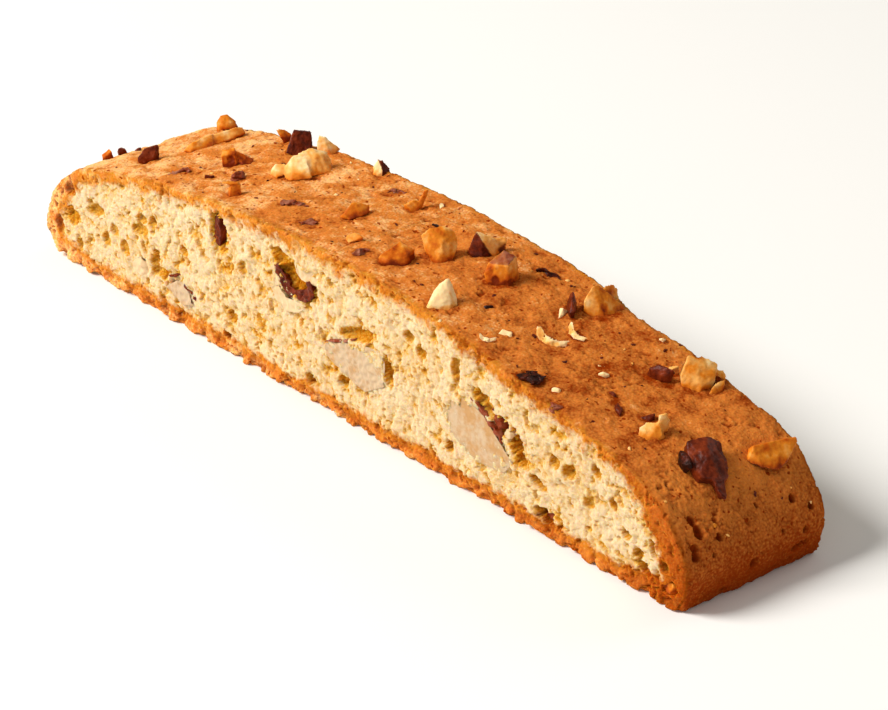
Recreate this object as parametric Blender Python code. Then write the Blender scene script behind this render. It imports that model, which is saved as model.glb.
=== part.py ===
"""Almond biscotti: one long slice, cut across a flat baked loaf and baked again.

The slice lies on its flat base. Its two cut faces look along Y, its long side
runs along X, and its crown is the highest stretch of crust, near the middle.
"""

import math
import random

import bmesh
import bpy
from mathutils import Matrix, Vector, geometry, noise

MM = 0.001

# Driving dimensions, in millimetres
LENGTH = 124.4
THICKNESS = 22.2
CROWN_HEIGHT = 22.4
CELL = 2.0
EDGE_SOFTNESS = 0.25

# The cut across the loaf, from the thin far end over the crown to the blunt near end.
# Each point is a fraction of half the length and a fraction of the crown's height.
LOAF_OUTLINE = (
    (-0.936, 0.00),
    (-0.980, 0.07),
    (-1.000, 0.19),
    (-0.977, 0.38),
    (-0.930, 0.535),
    (-0.864, 0.66),
    (-0.768, 0.75),
    (-0.623, 0.84),
    (-0.334, 0.955),
    (0.020, 1.00),
    (0.309, 0.95),
    (0.679, 0.775),
    (0.846, 0.68),
    (0.924, 0.575),
    (0.986, 0.36),
    (1.000, 0.19),
    (0.982, 0.00),
)
FAR_SHOULDER = 4
NEAR_SHOULDER = 13

# The near end runs a little further out towards the back face, most of all at the base
NEAR_END_FLARE = 0.8

# Relief of the crust and of the cut crumb: height, then size across, in millimetres
CRUST_SWELL, CRUST_SWELL_SIZE = 0.32, 13.0
CRUST_LUMP, CRUST_LUMP_SIZE = 0.30, 3.1
CRUMB_SWELL, CRUMB_SWELL_SIZE = 0.35, 9.0
CRUMB_LUMP, CRUMB_LUMP_SIZE = 0.50, 3.4
PORE_DEPTH, PORE_SPACING, PORE_RADIUS = 1.1, 5.5, 2.0
RIM_CRUMBLE, RIM_CRUMBLE_SIZE = 0.7, 3.0

# The lower rims of the two cut faces stay clear of the table, so the base stands on a flat foot
RIM_LIFT = 0.35

# Hollows beside the nuts in the front cut face: along, up, radius, depth
HOLLOWS = (
    (-7.0, 16.3, 3.0, 1.6),
    (32.0, 11.5, 2.4, 1.2),
    (-21.5, 17.6, 1.6, 0.8),
)

# Nuts baked onto the crust, in millimetres and degrees.
# Kind, along, across, long, wide, rise above the crust, turn about the vertical.
TOPPINGS = (
    ("almond", -43.7, 4.3, 10.0, 2.3, 1.3, 84),
    ("almond", -48.0, 9.6, 3.2, 2.4, 1.7, 60),
    ("almond", -53.8, -6.0, 1.8, 1.5, 1.3, 60),
    ("skin", -53.8, -3.6, 1.7, 1.4, 1.0, 60),
    ("skin", -45.6, -5.2, 3.0, 2.2, 1.6, 75),
    ("skin", -37.0, -6.4, 4.2, 1.4, 0.5, 79),
    ("almond", -33.2, 0.0, 3.4, 2.8, 1.9, 70),
    ("skin", -28.6, -3.1, 2.8, 1.8, 0.7, 75),
    ("skin", -24.2, -7.6, 2.9, 2.7, 1.6, 50),
    ("skin", -29.7, 8.1, 3.8, 3.3, 2.5, 60),
    ("almond", -34.6, 9.4, 2.0, 1.4, 1.5, 50),
    ("almond", -22.9, 2.7, 7.4, 4.6, 2.6, 62),
    ("almond", -26.4, 9.3, 3.2, 2.6, 2.0, 20),
    ("almond", -15.9, 9.9, 2.2, 2.0, 1.6, 60),
    ("skin", -15.6, -4.7, 4.6, 1.6, 0.5, 40),
    ("skin", -9.9, -7.2, 3.4, 2.8, 0.7, 150),
    ("almond", -7.2, -1.6, 4.2, 2.9, 1.5, 55),
    ("skin", -9.8, 7.0, 3.8, 1.6, 0.5, 50),
    ("almond", -4.2, 5.8, 3.0, 2.4, 2.1, 75),
    ("almond", -1.4, -6.5, 2.4, 1.9, 1.0, 50),
    ("skin", 1.8, -7.9, 3.0, 3.0, 0.7, 60),
    ("almond", 5.8, -5.9, 5.2, 3.8, 2.1, 40),
    ("almond", 8.4, -1.4, 4.4, 4.4, 3.1, 60),
    ("skin", 11.2, 3.9, 5.2, 4.2, 2.6, 20),
    ("almond", 16.8, 1.4, 4.9, 4.4, 3.0, 30),
    ("almond", 16.9, -8.2, 4.4, 4.6, 2.5, 60),
    ("skin", 18.5, 7.3, 5.0, 1.4, 0.6, 20),
    ("almond", 28.0, 7.4, 5.6, 5.2, 3.0, 40),
    ("skin", 26.5, 4.1, 3.2, 2.0, 1.8, 140),
    ("almond", 26.0, 2.8, 2.2, 1.2, 0.8, 100),
    ("almond", 25.7, -5.9, 2.0, 1.7, 0.7, 60),
    ("almond", 29.6, -1.9, 4.0, 1.2, 0.5, 10),
    ("almond", 30.5, 1.2, 2.9, 1.3, 0.6, 10),
    ("skin", 34.0, -9.6, 3.4, 2.6, 0.7, 20),
    ("skin", 41.9, 3.6, 3.8, 2.9, 0.9, 20),
    ("almond", 45.2, 7.3, 5.6, 5.2, 2.6, 30),
    ("skin", 43.4, -4.4, 3.3, 1.3, 0.5, -30),
    ("skin", 46.4, -2.6, 2.3, 1.6, 0.7, 40),
    ("almond", 49.1, -4.0, 3.8, 3.5, 2.1, 70),
    ("skin", 56.3, -2.7, 6.6, 4.6, 1.8, -25),
    ("skin", 54.2, -4.6, 4.2, 1.9, 1.2, -25),
    ("almond", 57.6, 6.4, 5.8, 3.4, 1.8, 75),
)

# Nuts cut through by the knife: kind, face, along, up, long, high, turn in the face.
# The front face is -1 and the back face is 1.
INCLUSIONS = (
    ("almond", -1, 26.3, 9.4, 10.0, 6.8, -30),
    ("almond", -1, 5.0, 9.2, 10.4, 5.0, -8),
    ("almond", -1, -9.4, 12.8, 6.8, 3.6, -11),
    ("almond", -1, -31.8, 5.4, 6.2, 3.2, -5),
    ("almond", -1, -40.3, 5.7, 4.8, 2.6, -5),
    ("skin", -1, -23.4, 17.2, 4.6, 2.4, -85),
    ("skin", -1, -7.0, 16.4, 8.0, 3.0, -12),
    ("skin", -1, 38.4, 3.2, 3.0, 1.8, 0),
    ("skin", -1, 59.0, 3.6, 2.6, 2.0, 0),
    ("almond", 1, -38.0, 9.0, 7.0, 4.4, 30),
    ("almond", 1, -12.0, 12.5, 9.0, 5.0, -20),
    ("skin", 1, 3.0, 5.0, 4.4, 2.2, 50),
    ("almond", 1, 19.0, 13.0, 6.0, 5.0, 75),
    ("almond", 1, 44.0, 7.5, 8.0, 4.6, -40),
)
INCLUSION_DEPTH = 3.0
INCLUSION_PROUD = 0.2

# Nut pieces above this length get a finer mesh
LARGE_NUT = 3.3
NUT_SINK = 0.9
NUT_FACETS = 7
SEED = 7

CRUST_COLOUR = (0.52, 0.23, 0.07, 1.0)
CRUMB_COLOUR = (0.87, 0.68, 0.38, 1.0)
ALMOND_COLOUR = (0.84, 0.52, 0.22, 1.0)
SKIN_COLOUR = (0.09, 0.02, 0.012, 1.0)


def clear_scene():
    for obj in list(bpy.data.objects):
        bpy.data.objects.remove(obj, do_unlink=True)


def make_material(name, colour, roughness):
    material = bpy.data.materials.new(name)
    material.use_nodes = True
    shader = material.node_tree.nodes["Principled BSDF"]
    shader.inputs["Base Color"].default_value = colour
    shader.inputs["Roughness"].default_value = roughness
    shader.inputs["Metallic"].default_value = 0.0
    return material


def make_collection(name):
    collection = bpy.data.collections.new(name)
    bpy.context.scene.collection.children.link(collection)
    return collection


class Curve:
    """A smooth curve through a few points, read by the fraction of its length."""

    def __init__(self, points):
        ends = [points[0] * 2 - points[1]] + points + [points[-1] * 2 - points[-2]]
        samples = [points[0]]
        for before, start, end, after in zip(ends, ends[1:], ends[2:], ends[3:]):
            out_handle = start + (end - before) / 6
            in_handle = end - (after - start) / 6
            samples += geometry.interpolate_bezier(start, out_handle, in_handle, end, 12)[1:]
        self.samples = samples
        self.lengths = [0.0]
        for start, end in zip(samples, samples[1:]):
            self.lengths.append(self.lengths[-1] + (end - start).length)

    def at(self, fraction):
        wanted = fraction * self.lengths[-1]
        for i in range(1, len(self.lengths)):
            if self.lengths[i] >= wanted:
                break
        span = self.lengths[i] - self.lengths[i - 1]
        return self.samples[i - 1].lerp(self.samples[i], (wanted - self.lengths[i - 1]) / span)


class Slice:
    """The cut across the loaf as a patch between its base, its crown and its two ends."""

    def __init__(self):
        points = [Vector((x * LENGTH / 2, 0, z * CROWN_HEIGHT)) for x, z in LOAF_OUTLINE]
        self.far_end = Curve(points[: FAR_SHOULDER + 1])
        self.crown = Curve(points[FAR_SHOULDER : NEAR_SHOULDER + 1])
        self.near_end = Curve(points[NEAR_SHOULDER:][::-1])
        self.base = Curve([points[0], points[-1]])
        self.corners = [points[0], points[-1], points[FAR_SHOULDER], points[NEAR_SHOULDER]]

    def point(self, along, up):
        base_far, base_near, top_far, top_near = self.corners
        between_lines = self.base.at(along).lerp(self.crown.at(along), up)
        between_ends = self.far_end.at(up).lerp(self.near_end.at(up), along)
        flat = base_far.lerp(base_near, along).lerp(top_far.lerp(top_near, along), up)
        return between_lines + between_ends - flat

    def crust_at(self, x):
        """Height and slope of the top crust above a point of the base."""
        samples = self.crown.samples
        for start, end in zip(samples, samples[1:]):
            if end.x >= x:
                break
        slope = (end.z - start.z) / (end.x - start.x)
        return start.z + slope * (x - start.x), math.atan(slope)


def subdivide_along(bm, axis, pieces):
    edges = [e for e in bm.edges if abs((e.verts[1].co - e.verts[0].co)[axis]) > 0.5]
    bmesh.ops.subdivide_edges(bm, edges=edges, cuts=pieces - 1, use_grid_fill=True)


def crust_relief(point):
    swell = noise.fractal(point / CRUST_SWELL_SIZE, 0.8, 2.0, 2)
    lump = noise.noise(point / CRUST_LUMP_SIZE)
    return CRUST_SWELL * swell + CRUST_LUMP * lump


def crumb_relief(point):
    swell = noise.noise(point / CRUMB_SWELL_SIZE)
    lump = noise.fractal(point / CRUMB_LUMP_SIZE, 0.7, 2.1, 2)
    nearest_pore = noise.voronoi(point / PORE_SPACING)[0][0] * PORE_SPACING
    depth = PORE_DEPTH * max(0.0, 1.0 - nearest_pore / PORE_RADIUS)
    if point.y < 0:
        for x, z, radius, hollow in HOLLOWS:
            distance = math.hypot(point.x - x, point.z - z) / radius
            depth += hollow * max(0.0, 1.0 - distance * distance)
    return CRUMB_SWELL * swell + CRUMB_LUMP * lump - depth


def make_loaf_slice(shape, materials):
    """The bare slice: a box of even cells bent to the outline, then roughened."""
    bm = bmesh.new()
    bmesh.ops.create_cube(bm, size=1.0)
    for axis, size in enumerate((LENGTH, THICKNESS, CROWN_HEIGHT)):
        subdivide_along(bm, axis, round(size / CELL))

    on_cut, on_crust, on_rim = [], [], []
    for vert in bm.verts:
        along, across, up = vert.co.x + 0.5, vert.co.y, vert.co.z + 0.5
        cut = abs(across) > 0.499
        side = min(along, 1 - along, 1 - up) < 0.001
        under = up < 0.001
        point = shape.point(along, up)
        flare = NEAR_END_FLARE * along**6 * (across + 0.5) * (1 - up / 2)
        vert.co = Vector((point.x + flare, across * THICKNESS, point.z))
        if cut and (side or under):
            on_rim.append(vert)
        elif cut:
            on_cut.append(vert)
        elif side and not under:
            on_crust.append(vert)

    bm.normal_update()
    moves = {}
    for vert in on_crust:
        moves[vert] = vert.normal * crust_relief(vert.co)
    for vert in on_cut:
        moves[vert] = vert.normal * crumb_relief(vert.co)
    for vert in on_rim:
        inward = EDGE_SOFTNESS + RIM_CRUMBLE * noise.noise(vert.co / RIM_CRUMBLE_SIZE)
        moves[vert] = -vert.normal * inward
    for vert, move in moves.items():
        vert.co += move
        vert.co.z = max(vert.co.z, 0.0)
    for vert in on_rim:
        vert.co.z = max(vert.co.z, RIM_LIFT)

    for face in bm.faces:
        face.material_index = 1 if abs(face.normal.y) > 0.8 else 0
        face.smooth = True
    bmesh.ops.triangulate(bm, faces=bm.faces)
    mesh = bpy.data.meshes.new("biscotti")
    bm.to_mesh(mesh)
    bm.free()
    mesh.materials.append(materials["crust"])
    mesh.materials.append(materials["crumb"])
    return bpy.data.objects.new("biscotti", mesh)


def make_nut(name, size, material, rng):
    """A chopped piece of almond: a ball flattened by a few random cuts, then sized."""
    bm = bmesh.new()
    finer = 2 if size.x > LARGE_NUT else 1
    bmesh.ops.create_icosphere(bm, subdivisions=finer, radius=1.0)
    for _ in range(NUT_FACETS):
        facing = Vector((rng.gauss(0, 1), rng.gauss(0, 1), rng.gauss(0, 0.7))).normalized()
        reach = rng.uniform(0.62, 0.85)
        for vert in bm.verts:
            beyond = vert.co.dot(facing) - reach
            if beyond > 0:
                vert.co -= facing * beyond
    for axis in range(3):
        values = [vert.co[axis] for vert in bm.verts]
        low, high = min(values), max(values)
        for vert in bm.verts:
            vert.co[axis] = ((vert.co[axis] - low) / (high - low) - 0.5) * size[axis]
    mesh = bpy.data.meshes.new(name)
    bm.to_mesh(mesh)
    bm.free()
    mesh.materials.append(material)
    return mesh


def make_toppings(shape, materials, rng):
    nuts = []
    for number, (kind, x, y, long, wide, rise, turn) in enumerate(TOPPINGS, 1):
        crust, slope = shape.crust_at(x)
        size = Vector((long, wide, rise + NUT_SINK))
        mesh = make_nut(f"topping_{number}", size, materials[kind], rng)
        place = (
            Matrix.Translation((x, y, crust))
            @ Matrix.Rotation(-slope, 4, "Y")
            @ Matrix.Rotation(math.radians(turn), 4, "Z")
            @ Matrix.Translation((0, 0, (rise - NUT_SINK) / 2))
        )
        mesh.transform(place)
        nuts.append(bpy.data.objects.new(mesh.name, mesh))
    return nuts


def make_inclusions(materials, rng):
    """Nuts in the crumb, each sliced flat where the knife passed through it."""
    nuts = []
    for number, (kind, side, x, z, long, high, turn) in enumerate(INCLUSIONS, 1):
        size = Vector((long, high, INCLUSION_DEPTH * 2))
        mesh = make_nut(f"inclusion_{number}", size, materials[kind], rng)
        for vert in mesh.vertices:
            vert.co.z = min(vert.co.z, INCLUSION_PROUD)
        facing = Matrix.Rotation(math.radians(-90 * side), 4, "X")
        spin = Matrix.Rotation(math.radians(-turn), 4, "Y")
        mesh.transform(Matrix.Translation((x, side * THICKNESS / 2, z)) @ spin @ facing)
        nuts.append(bpy.data.objects.new(mesh.name, mesh))
    return nuts


def to_metres(objects):
    for obj in objects:
        obj.data.transform(Matrix.Scale(MM, 4))


def fuse(body, nuts):
    """Join the nuts to the slice with one union, apply it and drop the loose nuts."""
    gathered = make_collection("nuts")
    for nut in nuts:
        gathered.objects.link(nut)
    union = body.modifiers.new("fused nuts", "BOOLEAN")
    union.operation = "UNION"
    union.operand_type = "COLLECTION"
    union.collection = gathered
    union.solver = "MANIFOLD"
    union.material_mode = "TRANSFER"
    graph = bpy.context.evaluated_depsgraph_get()
    fused = bpy.data.meshes.new_from_object(body.evaluated_get(graph))
    body.modifiers.remove(union)
    body.data = fused
    fused.name = body.name
    for nut in nuts:
        bpy.data.objects.remove(nut, do_unlink=True)
    bpy.data.collections.remove(gathered)


def build():
    clear_scene()
    rng = random.Random(SEED)
    materials = {
        "crust": make_material("crust", CRUST_COLOUR, 0.75),
        "crumb": make_material("crumb", CRUMB_COLOUR, 0.9),
        "almond": make_material("almond", ALMOND_COLOUR, 0.55),
        "skin": make_material("almond skin", SKIN_COLOUR, 0.5),
    }
    shape = Slice()
    body = make_loaf_slice(shape, materials)
    nuts = make_toppings(shape, materials, rng) + make_inclusions(materials, rng)
    to_metres([body] + nuts)
    make_collection("almond biscotti").objects.link(body)
    fuse(body, nuts)


build()
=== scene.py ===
# %% [markdown]
# # An almond biscotti
# One slice of a flat almond loaf, cut across and baked a second time. It has a sandy brown
# crust over the top and the two ends, a flat brown base, and two pale cut faces full of
# pores. Chopped almonds with dark skins lie on the crust, and the knife has cut through more
# of them inside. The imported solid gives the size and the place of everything. This lesson
# makes the fine surfaces and the finishes that stand for it.

import math
import random

import bmesh
import bpy
import numpy as np
from mathutils import Matrix, Vector, bvhtree, geometry, kdtree, noise


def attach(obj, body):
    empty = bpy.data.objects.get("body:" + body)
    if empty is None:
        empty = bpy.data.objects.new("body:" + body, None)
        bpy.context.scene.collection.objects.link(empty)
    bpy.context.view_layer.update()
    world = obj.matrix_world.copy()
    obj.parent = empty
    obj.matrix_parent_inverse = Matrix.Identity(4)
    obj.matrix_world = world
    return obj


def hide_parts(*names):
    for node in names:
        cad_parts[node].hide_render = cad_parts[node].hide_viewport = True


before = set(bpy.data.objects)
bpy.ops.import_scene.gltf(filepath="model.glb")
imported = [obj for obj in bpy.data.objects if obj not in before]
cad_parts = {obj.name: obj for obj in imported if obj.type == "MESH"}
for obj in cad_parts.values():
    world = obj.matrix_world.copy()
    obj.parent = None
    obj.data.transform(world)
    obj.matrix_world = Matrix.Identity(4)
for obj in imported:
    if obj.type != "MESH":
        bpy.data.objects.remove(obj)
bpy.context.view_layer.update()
SLICE_NODE = "biscotti"
BODY = "root"
MM = 0.001

# %% [markdown]
# ## Camera
# The slice is seen from its blunt end and from a little above, through a long lens 43 cm
# away, so its far end looks almost as tall as its near one. A camera could be turned by hand
# until the picture looks right. Here its place, its aim and its slight roll are written down,
# and its three axes are worked out from them, because then the view can be set exactly.

# %% Camera
CAMERA_PLACE = Vector((288.65, -246.7, 207.2)) * MM
CAMERA_AIM = Vector((4.09, 3.42, 5.37)) * MM
CAMERA_ROLL = math.radians(0.494)
SENSOR_WIDTH = 36.0
LENS = 138.06
NEAREST_SEEN = 10 * MM


def make_camera():
    """A camera whose axes follow from its place, its aim and its roll."""
    backward = (CAMERA_PLACE - CAMERA_AIM).normalized()
    level = Vector((0, 0, 1)).cross(backward).normalized()
    right = math.cos(CAMERA_ROLL) * level + math.sin(CAMERA_ROLL) * backward.cross(level)
    turn = Matrix((right, backward.cross(right), backward)).transposed()
    data = bpy.data.cameras.new("camera")
    data.sensor_width = SENSOR_WIDTH
    data.lens = LENS
    data.clip_start = NEAREST_SEEN
    camera = bpy.data.objects.new("camera", data)
    camera.matrix_world = Matrix.Translation(CAMERA_PLACE) @ turn.to_4x4()
    bpy.context.scene.collection.objects.link(camera)
    bpy.context.scene.camera = camera


make_camera()
print("camera is", round((CAMERA_PLACE - CAMERA_AIM).length, 3), "m from the slice")

# %% [markdown]
# ## Light and floor
# The light is soft and comes from above the thin end, on the side of the cut face. So the
# pores in the crumb have small soft shadows and the blunt end lies in shade. A picture of a
# studio could light the slice from all round. One wide disc, two weak ones and an even sky
# do the same here, because each of them can be moved and dimmed on its own.

# %% Light and floor
# name, place in metres, width, power, colour
LIGHTS = (
    ("key", (-0.36, -0.60, 0.64), 0.42, 11.6, (1.0, 0.97, 0.92)),
    ("fill", (0.60, -0.60, 0.35), 0.60, 1.1, (1.0, 0.95, 0.88)),
    ("back", (0.10, 0.70, 0.50), 0.50, 1.0, (1.0, 0.96, 0.90)),
)
SKY = (1.0, 0.96, 0.88, 1.0)
SKY_STRENGTH = 0.24
FLOOR_REACH = 3.0
PAPER = (0.93, 0.93, 0.92, 1.0)
PAPER_ROUGHNESS = 0.9


def make_lights():
    """Soft discs of light that face the slice, and an even sky."""
    for name, place, width, power, colour in LIGHTS:
        data = bpy.data.lights.new(name, "AREA")
        data.shape = "DISK"
        data.size = width
        data.energy = power
        data.color = colour
        lamp = bpy.data.objects.new(name, data)
        lamp.location = place
        lamp.rotation_euler = (-Vector(place)).to_track_quat("-Z", "Y").to_euler()
        bpy.context.scene.collection.objects.link(lamp)
    world = bpy.data.worlds.new("studio")
    world.use_nodes = True
    sky = world.node_tree.nodes["Background"]
    sky.inputs["Color"].default_value = SKY
    sky.inputs["Strength"].default_value = SKY_STRENGTH
    bpy.context.scene.world = world


def make_floor():
    """A wide sheet of pale paper."""
    bm = bmesh.new()
    bmesh.ops.create_grid(bm, x_segments=1, y_segments=1, size=FLOOR_REACH)
    mesh = bpy.data.meshes.new("floor")
    bm.to_mesh(mesh)
    bm.free()
    floor = bpy.data.objects.new("floor", mesh)
    paper = bpy.data.materials.new("pale paper")
    paper.use_nodes = True
    shader = paper.node_tree.nodes["Principled BSDF"]
    shader.inputs["Base Color"].default_value = PAPER
    shader.inputs["Roughness"].default_value = PAPER_ROUGHNESS
    mesh.materials.append(paper)
    bpy.context.scene.collection.objects.link(floor)


make_lights()
make_floor()
bpy.context.scene.view_settings.view_transform = "Standard"
print("lights:", [light[0] for light in LIGHTS])

# %% [markdown]
# ## The cut across the loaf
# The knife leaves the shape of the loaf: thin at one end, highest near the middle and blunt at
# the other end. A smooth line through a few points gives it, as in the solid. The faces need
# points inside the outline too. A remesh would scatter them. A patch that blends the four
# sides gives them in even rows, which the crust and the base can meet point for point.

# %% Outline of the slice, in millimetres
LENGTH = 124.4
THICKNESS = 22.2
CROWN_HEIGHT = 22.4
NEAR_END_FLARE = 0.8
STEPS_BETWEEN_POINTS = 40
# along as a share of half the length, up as a share of the crown's height
LOAF_OUTLINE = (
    (-0.936, 0.00),
    (-0.980, 0.07),
    (-1.000, 0.19),
    (-0.977, 0.38),
    (-0.930, 0.535),
    (-0.864, 0.66),
    (-0.768, 0.75),
    (-0.623, 0.84),
    (-0.334, 0.955),
    (0.020, 1.00),
    (0.309, 0.95),
    (0.679, 0.775),
    (0.846, 0.68),
    (0.924, 0.575),
    (0.986, 0.36),
    (1.000, 0.19),
    (0.982, 0.00),
)
# The points of it where the far end, the crown and the near end meet
FAR_SHOULDER = 4
NEAR_SHOULDER = 13


def smooth_line(points):
    """Points close together on a smooth line through a few given ones."""
    points = [Vector(p) for p in points]
    ends = [points[0] * 2 - points[1]] + points + [points[-1] * 2 - points[-2]]
    line = [points[0]]
    for before, start, end, after in zip(ends, ends[1:], ends[2:], ends[3:]):
        handles = start + (end - before) / 6, end - (after - start) / 6
        line += geometry.interpolate_bezier(start, *handles, end, STEPS_BETWEEN_POINTS)[1:]
    return np.array([[p.x, p.y] for p in line])


def along_line(line, fractions):
    """Points at fractions of a line's length."""
    lengths = np.concatenate([[0], np.cumsum(np.linalg.norm(np.diff(line, axis=0), axis=1))])
    wanted = np.asarray(fractions) * lengths[-1]
    return np.stack([np.interp(wanted, lengths, line[:, i]) for i in range(2)], axis=-1)


corners = [(x * LENGTH / 2, z * CROWN_HEIGHT) for x, z in LOAF_OUTLINE]
far_end = smooth_line(corners[: FAR_SHOULDER + 1])
crown = smooth_line(corners[FAR_SHOULDER : NEAR_SHOULDER + 1])
near_end = smooth_line(corners[NEAR_SHOULDER:][::-1])
base = np.array([corners[0], corners[-1]])


def slice_patch(along, up):
    """A grid of points inside the outline, blended from its four sides."""
    u = np.linspace(0, 1, along)[:, None, None]
    w = np.linspace(0, 1, up)[None, :, None]
    low, high = along_line(base, u[:, 0, 0])[:, None], along_line(crown, u[:, 0, 0])[:, None]
    left, right = along_line(far_end, w[0, :, 0])[None], along_line(near_end, w[0, :, 0])[None]
    flat = (1 - u) * ((1 - w) * low[0] + w * high[0]) + u * ((1 - w) * low[-1] + w * high[-1])
    return (1 - w) * low + w * high + (1 - u) * left + u * right - flat


print("outline runs", round(float(np.ptp(crown[:, 0])), 1), "mm along the crown")

# %% [markdown]
# ## What is where on the surface
# Every point of the surface has to know how far it is from the edge of the cut, and which way
# is out. The relief is pushed that way, and the browning follows that distance. A Proximity
# node could measure it later on. Here the outline is walked round once, its two corners at the
# base are softened, and each point looks up the nearest place on it, because the points need
# both answers before there is a mesh.

# %% Nearest place on the outline
OUTLINE_STEP = 0.1
CORNER_SOFTNESS = 0.7
EDGE_RADIUS = 1.1
EDGE_PULL = 0.22

outline = np.vstack([far_end, crown[1:], near_end[::-1][1:], base[::-1][1:]])
ring_length = np.linalg.norm(np.diff(outline, axis=0), axis=1).sum()
ring = along_line(outline, np.linspace(0, 1, int(ring_length / OUTLINE_STEP))[:-1])
ring_tree = kdtree.KDTree(len(ring))
for number, (x, z) in enumerate(ring):
    ring_tree.insert((x, z, 0), number)
ring_tree.balance()


def blurred(values, reach):
    """The mean of values over a stretch of the closed outline."""
    steps = max(1, round(reach / OUTLINE_STEP))
    return sum(np.roll(values, k, axis=0) for k in range(-steps, steps + 1)) / (2 * steps + 1)


ring_shift = blurred(ring, CORNER_SOFTNESS) - ring
tangent = np.roll(ring, -1, axis=0) - np.roll(ring, 1, axis=0)
ring_out = blurred(np.stack([-tangent[:, 1], tangent[:, 0]], axis=-1), CORNER_SOFTNESS)
ring_out /= np.linalg.norm(ring_out, axis=1, keepdims=True)


def nearest_on_ring(points):
    """Distance to the outline, and which of its points is nearest."""
    found = np.array([ring_tree.find((x, z, 0))[1:] for x, z in points.reshape(-1, 2)])
    index, distance = found.T.reshape(2, *points.shape[:-1])
    return distance, index.astype(int)


print(len(ring), "points round the outline,", round(ring_length), "mm")

# %% [markdown]
# ## Nuts that show
# The chopped almonds are the pieces that a baker strews over the dough before baking. Chance
# could strew them here too, but the eye knows the big ones by their places, so each is given
# by where it lies, its size and its turn. The solid has the larger ones in the same places.
# The names of the shapes and looks are explained where the nuts are made.

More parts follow.
